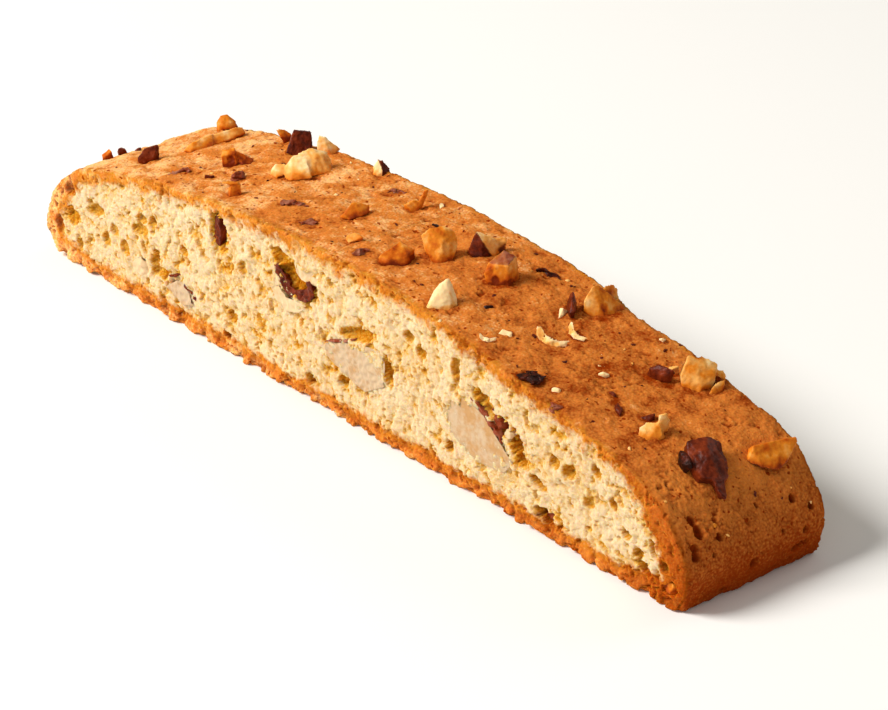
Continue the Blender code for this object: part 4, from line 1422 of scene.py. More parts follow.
# %% Corner points of more nuts
SHAPES |= {
    "tile": (
        (
            (-2.3, -0.2, 0.9), (0.6, 1.1, 1.9), (2.3, 0.5, 1.1), (1.1, -0.9, 0.9), (-1.2, -1.1, 0.6),
            (-2.4, -0.4, -0.2), (-1.3, -1.4, -0.6), (1.2, -1.5, -0.6), (2.5, 0.2, -0.4),
            (0.6, 1.3, -0.4),
        ),
    ),
    "shield": (
        (
            (-2.1, 0.9, 2.4), (-1.1, 1.2, 3.0), (0.9, 1.2, 3.2), (2.1, 1.0, 2.6), (2.4, 0.2, 1.4),
            (-1.6, -0.3, 0.9), (1.7, -0.9, 0.2), (0.6, -1.7, -0.6), (-0.5, -1.6, -0.5),
            (-1.0, -0.9, 0.0), (-1.4, 1.7, 0.0), (1.6, 1.8, 0.0), (2.1, 0.8, -0.2), (0.2, -0.6, 1.7),
        ),
    ),
    "peak": (
        (
            (-2.3, -0.2, 0.6), (-2.2, 0.6, -0.3), (-1.4, 0.3, 2.6), (-0.9, 0.6, 2.3),
            (-0.6, -0.6, 1.6), (0.9, 0.1, 1.7), (0.8, -1.0, -0.4), (-0.8, -1.2, -0.5),
            (-1.8, -0.9, -0.3), (0.3, 1.3, 1.2), (1.8, 1.1, 0.8), (0.0, 1.5, -0.3), (1.6, -0.4, 0.0),
        ),
        (
            (0.3, 0.3, 1.5), (0.4, -0.6, 0.2), (2.6, 0.2, 1.1), (2.5, 0.7, 1.6), (2.4, -0.2, 0.2),
            (2.4, 0.9, 0.3), (0.6, 0.9, 0.4),
        ),
    ),
    "block": (
        (
            (-1.9, 0.3, 2.0), (0.3, 1.6, 2.9), (1.7, 0.7, 2.6), (0.5, -0.9, 2.2), (-0.9, -0.4, 2.1),
            (-2.3, -0.1, 0.9), (-1.9, -0.8, -0.4), (0.6, -1.7, -0.5), (2.3, 0.2, -0.3),
            (1.0, 1.6, -0.3), (-1.2, 1.4, -0.3), (2.1, 0.9, 1.4),
        ),
    ),
    "fin": (
        (
            (0.6, 1.0, 2.7), (0.9, 1.1, 2.6), (-1.0, 0.6, 1.5), (-2.1, -0.3, -0.3),
            (-2.0, -0.9, 0.0), (-0.3, -1.4, -0.6), (0.9, -1.3, -0.4), (1.9, -0.3, 0.0),
            (1.9, 0.4, 0.5), (1.3, 0.6, 1.3), (0.0, 1.6, -0.2), (0.2, -0.6, 0.7), (-0.3, 1.0, 2.1),
        ),
    ),
    "scoop": (
        (
            (-1.3, 0.6, 2.9), (-0.7, 0.9, 2.8), (-2.4, -0.2, 1.4), (-2.3, -0.6, 0.0),
            (-1.4, -1.4, -0.4), (0.2, -1.9, -0.5), (1.8, -1.3, -0.4), (3.0, -0.1, -0.1),
            (2.9, 0.3, 0.4), (0.9, 0.5, 1.9), (-0.2, 0.6, 2.4), (0.0, 1.6, -0.2), (-1.8, 1.2, 0.0),
        ),
        (
            (0.2, 1.0, 2.6), (1.4, 1.4, 2.6), (2.2, 1.6, 1.8), (2.5, 1.4, 0.6), (1.2, 0.8, 1.2),
            (0.6, 1.8, 1.0), (1.8, 2.4, 0.0), (0.2, 2.2, 0.0),
        ),
    ),
    "slab": (
        (
            (-2.4, -0.1, 1.0), (-2.2, 0.9, 0.6), (-1.6, 1.1, 2.6), (-0.6, 1.3, 2.6), (0.9, 1.0, 2.1),
            (1.8, 0.9, 1.8), (1.3, -0.5, 1.1), (-0.2, -1.2, 0.6), (-0.6, -1.6, -0.5),
            (-2.0, -0.7, -0.5), (-1.3, 1.9, -0.2), (1.6, 1.8, -0.2), (1.1, -0.9, -0.5),
        ),
        (
            (0.4, -1.8, 0.1), (0.3, -2.0, -0.6), (1.6, -2.0, -0.4), (2.4, -0.9, 0.5),
            (2.5, -0.4, 0.8), (1.5, -0.8, 0.8), (0.8, -1.4, 0.6), (2.4, 0.0, -0.3),
        ),
        (
            (1.7, 0.4, 1.3), (2.4, 0.6, 1.2), (2.8, 0.4, 0.7), (2.7, 1.2, 0.3), (1.8, 1.6, 0.5),
            (1.8, -0.1, 0.9), (2.7, -0.1, 0.3),
        ),
    ),
    "knob": (
        (
            (0.3, 0.3, 1.9), (1.0, 0.4, 2.1), (1.6, 0.5, 1.2), (1.5, 0.1, 0.2), (0.2, 0.0, 1.2),
            (0.4, 1.0, 1.4), (1.2, 1.1, 0.2), (0.4, -0.4, 0.2),
        ),
        (
            (-1.8, -0.4, -0.2), (-1.6, 0.3, 0.5), (-0.9, 0.6, 0.9), (0.4, 0.1, 1.2),
            (0.6, -0.8, 0.4), (1.3, -0.7, -0.5), (0.0, -1.3, -0.5), (-1.2, -1.1, -0.4),
            (0.0, 1.2, -0.3), (1.2, 0.9, -0.3),
        ),
    ),
    "shell": (
        (
            (-2.8, -1.8, 1.0), (-3.1, 0.2, 1.5), (-2.6, 1.9, 1.2), (-0.6, -2.2, 0.7),
            (-0.4, -0.4, 1.8), (-0.4, 2.2, 0.8), (1.4, -1.2, 0.8), (1.6, 0.4, 1.1), (1.2, 1.9, 0.5),
            (-2.6, -1.6, -0.6), (-2.4, 1.8, -0.6), (1.2, -1.1, -0.6), (1.4, 1.6, -0.6),
        ),
        (
            (0.8, -0.4, 1.0), (0.8, 1.4, 0.6), (3.2, 0.5, 0.5), (3.5, 1.2, 0.3), (2.8, 1.5, 0.1),
            (1.0, 0.4, -0.5), (3.0, 0.9, -0.5),
        ),
    ),
    "wedge": (
        (
            (-2.2, 0.4, 1.5), (2.9, 0.3, 1.7), (3.0, -0.1, 1.4), (-2.3, 0.0, 1.2), (-1.6, -1.4, 0.1),
            (0.2, -1.9, -0.2), (1.4, -1.2, 0.0), (-2.9, -0.4, 0.3), (-2.0, 1.5, 0.0),
            (2.6, 1.4, 0.2), (0.0, 0.0, -0.9), (-2.4, 0.6, -0.5),
        ),
    ),
    "curlet": (
        (
            (-2.3, 0.7, 1.3), (-1.8, 0.8, 1.4), (-2.1, 0.1, 0.6), (-1.5, -0.4, 0.0),
            (-1.0, 0.2, 0.8), (-1.6, 0.5, 0.2),
        ),
        (
            (-1.6, -0.4, 0.0), (-1.1, 0.3, 0.8), (0.2, -1.0, 0.0), (0.4, -0.3, 0.7),
            (-0.4, -0.8, 0.5),
        ),
        (
            (0.0, -1.0, 0.0), (0.3, -0.3, 0.7), (1.9, -0.4, 0.1), (2.1, 0.3, 0.7),
            (1.0, -0.8, 0.3),
        ),
    ),
}
print(len(SHAPES), "drawn shapes for the crust")

# %% Corner points of the nuts cut by the knife
# Along, up and out of the cut face, in millimetres from the middle of the nut
SHAPES |= {
    "lozenge": (
        (
            (-6.7, 1.7, 0.1), (-1.7, 3.7, 0.1), (1.4, 2.8, 0.1), (4.2, 0.5, 0.1), (7.2, -1.9, 0.1),
            (5.4, -3.9, 0.1), (0.2, -4.5, 0.1), (-4.9, -2.3, 0.1), (-3.0, 1.0, -1.5),
            (2.0, -1.0, -1.5),
        ),
    ),
    "trapeze": (
        (
            (-6.2, 0.8, 0.1), (-0.3, 3.2, 0.1), (4.6, 4.0, 0.1), (5.9, 2.5, 0.1), (5.6, -1.0, 0.1),
            (1.7, -3.3, 0.1), (-1.8, -2.5, 0.1), (-6.2, -1.0, 0.1), (-2.0, 0.5, -1.4),
            (2.5, 0.0, -1.4),
        ),
    ),
    "crescent": (
        (
            (-3.6, 1.4, 0.0), (-2.9, 2.5, 0.0), (-1.6, 0.8, 0.3), (0.2, 0.1, 0.3), (0.2, -1.9, 0.0),
            (-2.4, -0.6, 0.1), (-1.0, 0.4, -1.5),
        ),
        (
            (-0.6, 0.3, 0.2), (2.2, 0.5, 0.1), (4.0, 0.6, 0.0), (2.6, -1.0, 0.0), (0.2, -1.8, 0.1),
            (1.0, -0.4, -1.5),
        ),
    ),
    "hook": (
        (
            (-4.4, 0.6, 0.0), (-3.1, 2.0, 0.1), (-2.0, 1.2, 0.3), (0.6, -1.0, 0.2), (0.2, -2.1, 0.0),
            (-1.4, -1.8, 0.0), (-3.6, -0.2, 0.0), (-1.5, 0.0, -1.0),
        ),
        (
            (-0.4, -1.9, 0.0), (0.6, -0.6, 0.2), (2.6, 0.2, 0.2), (4.2, 0.6, 0.0), (4.1, -0.6, 0.0),
            (2.2, -1.8, 0.0), (2.0, -0.8, -1.0),
        ),
        (
            (2.4, -0.4, 0.1), (2.8, 1.4, 0.0), (3.5, 1.9, 0.1), (4.2, 0.6, 0.1), (3.4, -0.6, 0.0),
            (3.2, 0.4, -0.9),
        ),
    ),
}
print(len(SHAPES), "drawn shapes in all")

# %% Bites and drawn lengths
# Bites pressed into a shape: right, away, up, radius
BITES = {
    "sliver": ((-4.4, -0.5, 1.6, 0.9), (2.0, -1.2, 1.2, 0.7)),
    "step": ((-0.9, -1.2, 1.0, 0.75),),
    "shard": ((0.6, -1.3, 1.5, 1.0),),
    "finger": ((-0.4, -0.9, 1.5, 0.6),),
    "folded": ((0.9, -1.6, 2.3, 0.9), (-1.7, -1.3, 2.0, 0.8), (-2.6, 0.3, 2.1, 0.8)),
    "ramp": ((0.9, -0.9, 1.5, 0.7), (-0.4, -1.0, 1.3, 0.4)),
    "block": ((-1.3, -1.7, 0.8, 1.05),),
    "scoop": ((0.5, -1.9, 1.9, 1.7), (1.9, 0.3, 2.4, 0.8)),
    "slab": ((0.9, -2.0, 1.2, 0.5), (-0.6, 1.6, 2.6, 0.7)),
    "knob": ((0.2, -0.8, 1.5, 0.75),),
    "shell": ((-1.7, 2.2, 2.2, 1.5), (-0.4, -2.9, 1.4, 0.9), (2.2, -0.9, 1.2, 0.8)),
    "wedge": ((0.3, -1.9, 1.5, 1.3),),
    "fin": ((1.9, -1.0, 1.3, 0.9),),
    "shield": ((-1.9, -1.6, 1.9, 0.9),),
}
# Shapes that are used in more than one size: how long they are drawn
DRAWN_LONG = {"curlet": 4.0, "shell": 6.6, "slab": 5.0, "wedge": 5.1, "knob": 3.4}
# Nuts stand a little taller than they are drawn
RISE = 1.15
# Thin pieces of skin with a torn outline
FRAYED = ("flake", "thread", "hook")
print(len(BITES), "shapes are bitten")

# %% Looks of the nuts
# How toasted the kernel is. Then dust and painted sheen on the skin, or chalk on a bare kernel.
# Then where the skin stays: None, everywhere, or a way that it faces and a threshold.
EVERYWHERE = (0, 0, 0, -1)
LOOKS = {
    "pale": (-0.02, 0.0, None),
    "cream": (0.20, 0.0, None),
    "tan": (0.40, 0.0, (0.9, -0.3, -0.6, 0.75)),
    "buff": (0.42, 0.0, (-0.55, 0.7, 0.3, 0.80)),
    "golden": (0.50, 0.0, None),
    "peach": (0.52, 0.0, None),
    "honey": (0.36, 0.0, None),
    "amber": (0.60, 0.0, None),
    "orange": (0.72, 0.0, None),
    "rust": (0.86, 0.0, None),
    "ochre": (0.66, 0.0, (-0.8, -0.2, -0.5, 0.7)),
    "hollowed": (0.62, 0.0, (0.6, 0.6, 0.4, 0.85)),
    "half": (0.25, 0.0, (0.75, -0.6, 0.1, 0.35)),
    "bark": (0.60, 0.42, (0.1, 0.0, 1.0, 0.86)),
    "bark_dark": (0.9, 0.06, EVERYWHERE),
    "skinned": (0.36, 0.06, (-0.6, -0.6, -0.5, 0.22)),
    "skin": (0.9, 0.1, EVERYWHERE),
    "maroon": (0.9, 0.06, EVERYWHERE),
    "rusty": (0.9, 0.35, EVERYWHERE),
    "dusty_sheen": (0.9, 0.44, EVERYWHERE),
    "soot": (0.9, -0.25, EVERYWHERE),
    "wrinkled": (0.9, 0.08, EVERYWHERE),
    "blanched": (0.18, 1.0, None),
    "ivory": (-0.05, 0.7, None),
    "lilac": (0.02, 1.0, None),
}
print(len(LOOKS), "looks")

# %% A nut from its corners
RANDOM_CORNERS = 10
# With 2 the corners lie on a ball, and with more the lump is squarer
SQUARENESS = 3
LEAST_CORNER = 0.75


def random_corners(rng, size):
    """Corners of an uneven lump of about a size."""
    corners = []
    for _ in range(RANDOM_CORNERS):
        way = Vector((rng.gauss(0, 1), rng.gauss(0, 1), rng.gauss(0, 1)))
        reach = sum(abs(part) ** SQUARENESS for part in way) ** (1 / SQUARENESS)
        way *= rng.uniform(LEAST_CORNER, 1.0) / reach / 2
        corners.append((way.x * size[0], way.y * size[1], way.z * size[2]))
    return corners


def wrapped(lumps, cell):
    """One fine even skin round a few overlapping hulls: its points and quads."""
    bm = bmesh.new()
    for lump in lumps:
        hull = bmesh.ops.convex_hull(bm, input=[bm.verts.new(corner) for corner in lump])
        spare = set(hull["geom_interior"]) | set(hull["geom_unused"])
        spare = [g for g in spare if isinstance(g, bmesh.types.BMVert)]
        bmesh.ops.delete(bm, geom=spare, context="VERTS")
    mesh = bpy.data.meshes.new("hull")
    bm.to_mesh(mesh)
    bm.free()
    hull = bpy.data.objects.new("hull", mesh)
    bpy.context.scene.collection.objects.link(hull)
    skin = hull.modifiers.new("skin", "REMESH")
    skin.mode = "VOXEL"
    skin.voxel_size = cell
    graph = bpy.context.evaluated_depsgraph_get()
    fine = hull.evaluated_get(graph).to_mesh()
    places = np.empty(len(fine.vertices) * 3)
    fine.vertices.foreach_get("co", places)
    quads = np.empty(len(fine.loops), int)
    fine.loops.foreach_get("vertex_index", quads)
    bpy.data.objects.remove(hull, do_unlink=True)
    bpy.data.meshes.remove(mesh)
    return places.reshape(-1, 3), quads.reshape(-1, 4)


def smoothed(values, quads, rounds):
    """Values on points pulled towards those of their neighbours a few times."""
    edges = np.vstack([quads[:, [i, (i + 1) % 4]] for i in range(4)])
    size = len(values)
    count = np.bincount(edges.ravel(), minlength=size)[:, None]
    for _ in range(rounds):
        total = np.zeros_like(values)
        for axis in range(values.shape[1]):
            total[:, axis] = np.bincount(edges[:, 0], values[edges[:, 1], axis], size)
            total[:, axis] += np.bincount(edges[:, 1], values[edges[:, 0], axis], size)
        values = 0.5 * values + 0.5 * total / count
    return values


def normals_of(places, quads):
    """The way out of the surface at each point."""
    corners = places[quads]
    facing = np.cross(corners[:, 2] - corners[:, 0], corners[:, 3] - corners[:, 1])
    total = np.zeros_like(places)
    for axis in range(3):
        for corner in range(4):
            total[:, axis] += np.bincount(quads[:, corner], facing[:, axis], len(places))
    return total / np.linalg.norm(total, axis=1, keepdims=True).clip(1e-9)


def bite(places, bites):
    """Press round bites into a nut, and say which points were pressed."""
    bitten = np.zeros((len(places), 1))
    for x, y, z, radius in bites:
        away = places - (x, y, z)
        apart = np.linalg.norm(away, axis=1, keepdims=True)
        places = np.where(apart < radius, (x, y, z) + away / apart * radius, places)
        bitten = np.maximum(bitten, apart < radius)
    return places, bitten


# %% One nut with its facts
# Cells in millimetres for nuts up to a length
NUT_CELLS = ((2.4, 0.08), (4.2, 0.10), (7.0, 0.12), (math.inf, 0.14))
LUMP_SINK = 0.8
# How strongly the painted highlight on rounded edges shows, and how soft the rims of bites
# and sharp those of skin are
EDGE_HIGHLIGHT_GAIN, BITE_BLUR, SKIN_EDGE = 4.5, 6, 6
TOAST_SPREAD = 0.05
LITTLE_FRAY = 0.12
# The foot of a nut is browner, from toasting and as painted contact shade, but only where the
# nut is tall enough to have one
FOOT_HEIGHT, TALL_NUT = 0.9, 2.0


def skin_shares(rule, places, quads):
    """Where a nut has its skin, by the rule of its look."""
    if rule is None:
        return np.zeros(len(places))
    if rule == EVERYWHERE:
        return np.ones(len(places))
    way = np.array(rule[:3]) / np.linalg.norm(rule[:3])
    return np.clip((normals_of(places, quads) @ way - rule[3]) * SKIN_EDGE + 0.5, 0, 1)


def make_nut(shape, look, size, rng):
    """Points, quads and facts of one nut, round the place where it touches."""
    lumps = SHAPES.get(shape)
    if lumps is None:
        lift = size[2] / 2 - LUMP_SINK
        lumps = [[(x, y, z + lift) for x, y, z in random_corners(rng, size)]]
    cell = next(cell for longest, cell in NUT_CELLS if max(size) < longest)
    places, quads = wrapped(lumps, cell)
    sharp, bitten = bite(places, BITES.get(shape, ()))
    places = smoothed(sharp, quads, 1)
    # How much smoothing rounded each point, painted as a highlight on sharp edges
    edge_highlight = np.linalg.norm(sharp - places, axis=1) / cell
    places = places * (size[0] / DRAWN_LONG.get(shape, size[0]))
    places[:, 2] *= np.where(places[:, 2] > 0, RISE, 1.0)
    toast, dust_and_sheen, rule = LOOKS[look]
    toast += rng.uniform(-TOAST_SPREAD, TOAST_SPREAD)
    facts = {
        "toast": np.full(len(places), toast),
        "skin": skin_shares(rule, places, quads),
        "dust_and_sheen": np.full(len(places), dust_and_sheen),
        "chalk": np.full(len(places), dust_and_sheen if rule is None else 0.0),
        "frayed": np.full(len(places), 1.0 if shape in FRAYED else LITTLE_FRAY),
        "edge_highlight": np.clip(edge_highlight * EDGE_HIGHLIGHT_GAIN, 0, 1),
        "bitten": smoothed(bitten, quads, BITE_BLUR)[:, 0],
        "foot": np.clip(FOOT_HEIGHT - places[:, 2], 0, 1) * (size[2] > TALL_NUT),
    }
    return places, quads, facts


# %% Nuts placed and joined
TOPPING_SEED, INCLUSION_SEED = 100, 300
# How far a nut reaches into the crust, and a height from which the crust is looked for
NUT_FOOT, HIGH_ABOVE = 0.9, 60
# How thick a cut nut is, and the percentage of its points that lie behind the knife's cut
CUT_NUT_THICKNESS, CUT_PERCENT = 2.6, 80
CUT_GRAIN_PER_MM, CUT_GRAIN, BLANCHED_GRAIN = 1.6, 0.20, 0.06


def crust_surface():
    """The finished crust as a surface that can be hit from above."""
    points, faces = [], []
    for piece in crust:
        places = np.empty(len(piece.data.vertices) * 3)
        piece.data.vertices.foreach_get("co", places)
        faces += [[i + len(points) for i in p.vertices] for p in piece.data.polygons]
        points += (places.reshape(-1, 3) / MM).tolist()
    return bvhtree.BVHTree.FromPolygons(points, faces)


def join_nuts(name, nuts):
    """Many closed nut pieces as one mesh with their facts."""
    points, faces, start = [], [], 0
    facts = {}
    for places, quads, own in nuts:
        points.append(places)
        faces.append(quads + start)
        start += len(places)
        for key, values in own.items():
            facts.setdefault(key, []).append(values)
    piece = make_piece(name, np.vstack(points), np.vstack(faces).tolist())
    keep_facts(piece.data, {key: np.concatenate(values) for key, values in facts.items()}, start)
    return piece


def placed(places, matrix):
    """Points turned and moved by a matrix."""
    return places @ np.array(matrix.to_3x3()).T + np.array(matrix.translation)


def topping(number, shape, look, x, y, long, wide, rise, turn):
    """A nut that lies on the crust and leans with its slope."""
    rng = random.Random(TOPPING_SEED + number)
    places, quads, facts = make_nut(shape, look, (long, wide, rise + NUT_FOOT), rng)
    hit = surface.ray_cast(Vector((x, y, HIGH_ABOVE)), Vector((0, 0, -1)))[0]
    slope = math.atan(float(np.interp(x + 1, *crown.T) - np.interp(x - 1, *crown.T)) / 2)
    tilt = Matrix.Rotation(-slope, 4, "Y") @ Matrix.Rotation(math.radians(turn), 4, "Z")
    return placed(places, Matrix.Translation((x, y, hit.z)) @ tilt), quads, facts


def inclusion(number, shape, look, face, x, z, long, high, turn, level):
    """A nut in a cut face, cut flat by the knife."""
    rng = random.Random(INCLUSION_SEED + number)
    places, quads, facts = make_nut(shape, look, (long, high, CUT_NUT_THICKNESS), rng)
    facts["foot"] = np.zeros(len(places))
    if shape not in SHAPES:
        places[:, 2] -= np.percentile(places[:, 2], CUT_PERCENT)
        places[:, :2] *= np.array((long, high)) / np.ptp(places[:, :2], axis=0)
    shift = Vector((number, 0, 0))
    grain = np.array([noise.noise(Vector(p) * CUT_GRAIN_PER_MM + shift) for p in places])
    places[:, 2] = np.minimum(places[:, 2], 0.0) + level
    places[:, 2] += (BLANCHED_GRAIN if look == "blanched" else CUT_GRAIN) * grain
    tilt = Matrix.Rotation(math.radians(-turn), 4, "Y") @ Matrix.Rotation(math.pi / 2, 4, "X")
    matrix = Matrix.Translation((x, -THICKNESS / 2, z)) @ tilt
    places = placed(places, matrix)
    if face < 0:
        return places, quads, facts
    return places * (1, -1, 1), quads[:, ::-1], facts


surface = crust_surface()
is_skin = {look for look, (toast, dust_and_sheen, rule) in LOOKS.items() if rule == EVERYWHERE}
on_crust = [(row[1] in is_skin, topping(i, *row)) for i, row in enumerate(TOPPINGS)]
kernels = join_nuts("almonds_on_crust", [nut for skinned, nut in on_crust if not skinned])
skins = join_nuts("skins_on_crust", [nut for skinned, nut in on_crust if skinned])
cut_nuts = join_nuts("almonds_in_crumb", [inclusion(i, *row) for i, row in enumerate(INCLUSIONS)])
NUTS = (kernels, skins, cut_nuts)
for piece in NUTS:
    print(piece.name, len(piece.data.polygons), "faces")

# %% [markdown]
# ## Grain of the nuts
# A broken kernel is faintly lumpy, and its skin is wrinkled and torn at the edges. Wrinkles
# could be sculpted into each nut. They follow a rule as well, so a second tree pushes every
# point along its own normal, and all nuts get their grain at once.

# %% Relief of the nuts
KERNEL_LUMP_SIZE, KERNEL_GRAIN_SIZE = 1.4, 0.4
# Folds are size, height, detail. A ridge stands where the folds are near nought.
SKIN_FOLDS, SKIN_RIDGE = (0.9, 2.0, 2.0), 0.3
FRAY_SIZE, FRAY_WAYS = 0.8, (1.0, 1.0, 0.3)


def make_nut_tree():
    """Push each point of a nut along its normal, and fray thin skins sideways."""
    inputs = [
        ("Geometry", GEOMETRY, None),
        ("Kernel lump", FLOAT, 0.08),
        ("Kernel grain", FLOAT, 0.05),
        ("Skin wrinkle", FLOAT, 0.20),
        ("Fray", FLOAT, 2.0),
    ]
    tree, given, result = new_tree("nut relief", "GeometryNodeTree", inputs, [("Geometry", GEOMETRY)])
    place = position_in_mm(tree)
    lump = bumps(tree, place, KERNEL_LUMP_SIZE, given["Kernel lump"], 1.0)
    grain = bumps(tree, place, KERNEL_GRAIN_SIZE, given["Kernel grain"], 2.0)
    fold = maths(tree, "ABSOLUTE", bumps(tree, place, *SKIN_FOLDS))
    ridge = maths(tree, "SUBTRACT", SKIN_RIDGE, fold)
    wrinkle = maths(tree, "MULTIPLY", ridge, given["Skin wrinkle"])
    height = between(tree, attribute(tree, "skin"), maths(tree, "ADD", lump, grain), wrinkle)
    way = tree.nodes.new("GeometryNodeInputNormal").outputs[0]
    stray = vector_maths(tree, "MULTIPLY", wandering(tree, place, FRAY_SIZE, 1.0), FRAY_WAYS)
    stray = scaled(tree, stray, maths(tree, "MULTIPLY", given["Fray"], attribute(tree, "frayed")))
    move = scaled(tree, vector_maths(tree, "ADD", scaled(tree, way, height), stray), MM)
    inputs = {"Geometry": given["Geometry"], "Offset": move}
    moved = node(tree, "GeometryNodeSetPosition", inputs).outputs[0]
    tree.links.new(moved, result["Geometry"])
    return tree


nut_tree = make_nut_tree()
CUT_NUT_RELIEF = {"Kernel lump": 0.05, "Kernel grain": 0.06, "Fray": 0.9}
for piece, values in ((kernels, {}), (skins, {}), (cut_nuts, CUT_NUT_RELIEF)):
    apply_tree(piece, nut_tree, values)
print("relief on", len(NUTS), "pieces")

# %% [markdown]
# ## Flecks
# Between the nuts lie crumbs of kernel and specks of skin, well under a millimetre. A loop
# could place hundreds of them. They are strewn by chance, so Geometry Nodes strews them: points
# on the top of the crust, a small bead on each, turned and flattened at random, and all made
# real at the end.

# %% Flecks strewn on the crust
# Flecks lie where the way out points up by more than this and no nut is near
OPEN_TOP = 0.4
BEAD_ROUNDS = 2
BEAD_WIDTHS, BEAD_HEIGHTS = (0.4, 0.9), (0.25, 0.55)
FULL_TURN = 6.28
UNEVEN_SIZE, UNEVEN = 0.4, 0.35


def random_value(tree, low, high, seed):
    """A value for each bead; every seed gives another draw."""
    inputs = {2: low, 3: high, "Seed": seed}
    return node(tree, "FunctionNodeRandomValue", inputs, data_type="FLOAT").outputs[1]


def strewn_beads(tree, given, open_top):
    """A bead on each strewn point, flattened and turned at random, and made real."""
    inputs = {"Mesh": given["Geometry"], "Selection": open_top, "Seed": given["Seed"]}
    inputs |= {"Density": given["Per square metre"]}
    strewn = node(tree, "GeometryNodeDistributePointsOnFaces", inputs)
    bead = node(tree, "GeometryNodeMeshIcoSphere", {"Radius": MM / 2, "Subdivisions": BEAD_ROUNDS})
    size = random_value(tree, given["Smallest"], given["Largest"], 1)
    wide = maths(tree, "MULTIPLY", size, random_value(tree, *BEAD_WIDTHS, 2))
    high = maths(tree, "MULTIPLY", size, random_value(tree, *BEAD_HEIGHTS, 3))
    flat = node(tree, "ShaderNodeCombineXYZ", {0: size, 1: wide, 2: high})
    spin = node(tree, "ShaderNodeCombineXYZ", {2: random_value(tree, 0.0, FULL_TURN, 4)})
    inputs = {0: strewn.outputs["Rotation"], 1: spin.outputs[0]}
    turned = node(tree, "FunctionNodeRotateRotation", inputs, rotation_space="LOCAL")
    inputs = {"Points": strewn.outputs[0], "Instance": bead.outputs[0]}
    inputs |= {"Rotation": turned.outputs[0], "Scale": flat.outputs[0]}
    beads = node(tree, "GeometryNodeInstanceOnPoints", inputs).outputs[0]
    return node(tree, "GeometryNodeRealizeInstances", {0: beads}).outputs[0]


def make_fleck_tree():
    """Strew uneven beads where the crust looks up and no nut lies."""
    inputs = [
        ("Geometry", GEOMETRY, None),
        ("Per square metre", FLOAT, 22000.0),
        ("Seed", "NodeSocketInt", 1),
        ("Smallest", FLOAT, 0.25),
        ("Largest", FLOAT, 0.8),
        ("Toast", FLOAT, 0.1),
        ("Skin", FLOAT, 0.0),
        ("Finish", "NodeSocketMaterial", None),
    ]
    tree, given, result = new_tree("flecks", "GeometryNodeTree", inputs, [("Geometry", GEOMETRY)])
    way = node(tree, "ShaderNodeSeparateXYZ", {0: attribute(tree, "push", "FLOAT_VECTOR")})
    bare = maths(tree, "SUBTRACT", way.outputs[2], attribute(tree, "near_nut"))
    beads = strewn_beads(tree, given, maths(tree, "GREATER_THAN", bare, OPEN_TOP))
    uneven = wandering(tree, position_in_mm(tree), UNEVEN_SIZE)
    inputs = {"Geometry": beads, "Offset": scaled(tree, uneven, UNEVEN * MM)}
    beads = node(tree, "GeometryNodeSetPosition", inputs).outputs[0]
    beads = stored(tree, beads, "toast", given["Toast"])
    beads = stored(tree, beads, "skin", given["Skin"])
    inputs = {"Geometry": beads, "Material": given["Finish"]}
    tree.links.new(node(tree, "GeometryNodeSetMaterial", inputs).outputs[0], result["Geometry"])
    return tree


fleck_tree = make_fleck_tree()
print("tree:", fleck_tree.name)

# %% [markdown]
# ## Finish of the nuts
# The kernel is cream where it was shielded and golden to orange where the oven reached it. It
# is darkest in its bites, as painted shade, and at its foot, as toasting and painted contact
# shade, and paler on its rounded edges, as painted highlights. The skin is a dark red brown,
# wrinkled, with a low sheen, and greyish where dough has dried on it and where a sheen is
# painted in. A material for each look would repeat all this. One material reads the facts of
# each nut instead.

# %% Colours of kernel and skin
KERNEL = (
    (0.0, (1.0, 0.72, 0.37)),
    (0.25, (0.92, 0.47, 0.12)),
    (0.55, (0.76, 0.235, 0.014)),
    (0.82, (0.50, 0.09, 0.002)),
    (1.0, (0.20, 0.022, 0.001)),
)
CHALK = ((0.0, (0.54, 0.39, 0.245)), (0.45, (0.48, 0.265, 0.105)))
# The skin's palest stop comes with dust and painted sheen
SKIN = (
    (0.0, (0.018, 0.004, 0.002)),
    (0.30, (0.10, 0.012, 0.003)),
    (0.60, (0.23, 0.034, 0.007)),
    (1.0, (0.36, 0.15, 0.09)),
)
# Patches are size, height, detail, roughness. Wrinkles are size, detail, roughness.
TOAST_PATCHES, TOAST_FLECKS = (1.7, 1.4, 2.0, 0.5), (0.35, 0.25, 2.0, 0.6)
# Bites get painted shade, rounded edges a painted highlight, and the foot toasting and painted
# contact shade
BITTEN_TONE, EDGE_HIGHLIGHT_TONE, FOOT_TONE = 0.38, -0.20, 0.45
WRINKLES, CHALK_TONE, WRINKLE_TONE = (0.5, 3.0, 0.6), 0.8, 0.7
SKIN_PATCHES, SKIN_TONE = (1.6, 0.9, 2.0, 0.5), 0.3


def kernel_colour(tree, place, wrinkle):
    """Cream to dark brown by how toasted a kernel is, and chalky where it was blanched."""
    tone = maths(tree, "ADD", fact(tree, "toast"), bumps(tree, place, *TOAST_PATCHES))
    tone = maths(tree, "ADD", tone, bumps(tree, place, *TOAST_FLECKS))
    # Painted shade in bites, painted highlight on sharp edges, toasting and painted contact shade at
    # the foot
    for name, share in (("bitten", BITTEN_TONE), ("edge_highlight", EDGE_HIGHLIGHT_TONE), ("foot", FOOT_TONE)):
        tone = maths(tree, "MULTIPLY_ADD", fact(tree, name), share, tone)
    chalky = ramp(tree, maths(tree, "ADD", tone, centred(tree, wrinkle, CHALK_TONE)), CHALK)
    return blend_colour(tree, fact(tree, "chalk"), ramp(tree, tone, KERNEL), chalky)


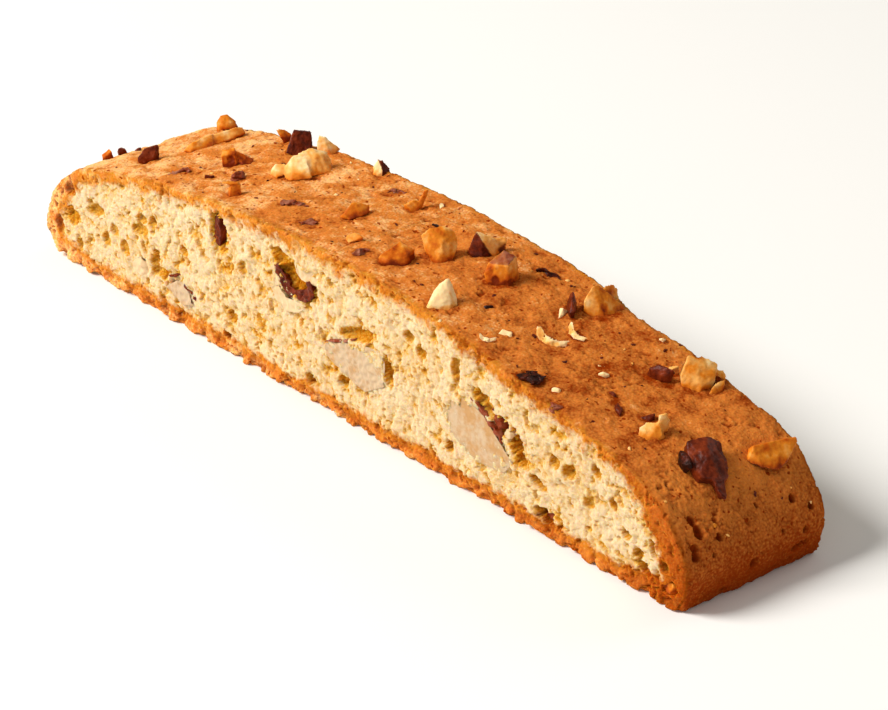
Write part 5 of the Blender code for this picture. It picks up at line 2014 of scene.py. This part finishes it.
def skin_colour(tree, place, wrinkle):
    """Dark red brown, paler on its wrinkles, and greyish with dust and painted sheen."""
    tone = centred(tree, wrinkle, WRINKLE_TONE)
    tone = maths(tree, "ADD", tone, bumps(tree, place, *SKIN_PATCHES))
    # Dust and painted sheen make the skin paler and greyer
    tone = maths(tree, "ADD", tone, maths(tree, "ADD", fact(tree, "dust_and_sheen"), SKIN_TONE))
    return ramp(tree, tone, SKIN)


# %% Nut material
NUT_ROUGHNESS, KERNEL_ROUGHNESS, SKIN_ROUGHNESS = 0.45, 0.5, 0.38
NUT_GLOSS, NUT_SCATTER, NUT_SCATTER_RADIUS = 0.12, 0.12, (1.0, 0.45, 0.15)
KERNEL_WRINKLED = 0.3
WRINKLE_STRENGTH, WRINKLE_HEIGHT = 0.6, 0.15 * MM


def make_nut_material():
    """One finish for all nuts; the facts on the mesh say where the kernel has its skin."""
    look = NUT_ROUGHNESS, NUT_GLOSS, NUT_SCATTER, NUT_SCATTER_RADIUS
    material, tree, shader = new_material("chopped almond", *look)
    place = node(tree, "ShaderNodeGroup", node_tree=place_group).outputs[0]
    wrinkle = noise_of(tree, place, *WRINKLES)
    skin = fact(tree, "skin")
    colours = kernel_colour(tree, place, wrinkle), skin_colour(tree, place, wrinkle)
    tree.links.new(blend_colour(tree, skin, *colours), shader.inputs["Base Color"])
    smoother = SKIN_ROUGHNESS - KERNEL_ROUGHNESS
    roughness = maths(tree, "MULTIPLY_ADD", skin, smoother, KERNEL_ROUGHNESS)
    tree.links.new(roughness, shader.inputs["Roughness"])
    height = maths(tree, "MULTIPLY", wrinkle, maths(tree, "MAXIMUM", skin, KERNEL_WRINKLED))
    bumped(tree, shader, height, WRINKLE_STRENGTH, WRINKLE_HEIGHT)
    return material


nut_finish = make_nut_material()
for piece in NUTS:
    finish(piece, nut_finish)
print("finish", nut_finish.name, "on", len(NUTS), "pieces")

# %% The two kinds of flecks
DARK_FLECKS = {"Seed": 3, "Per square metre": 30000.0, "Largest": 0.7, "Skin": 1.0}
PALE_FLECKS = {"Seed": 8, "Per square metre": 14000.0, "Largest": 0.6, "Toast": 0.25}


def strew(name, values):
    """A piece of flecks on the top of the crust."""
    bm = bmesh.new()
    for half in crust:
        bm.from_mesh(half.data)
    mesh = bpy.data.meshes.new(name)
    bm.to_mesh(mesh)
    bm.free()
    piece = bpy.data.objects.new(name, mesh)
    bpy.context.scene.collection.objects.link(piece)
    apply_tree(piece, fleck_tree, values | {"Finish": nut_finish})
    finish(piece, nut_finish)
    print(name, len(piece.data.polygons), "faces")


strew("dark_flecks", DARK_FLECKS)
strew("pale_flecks", PALE_FLECKS)
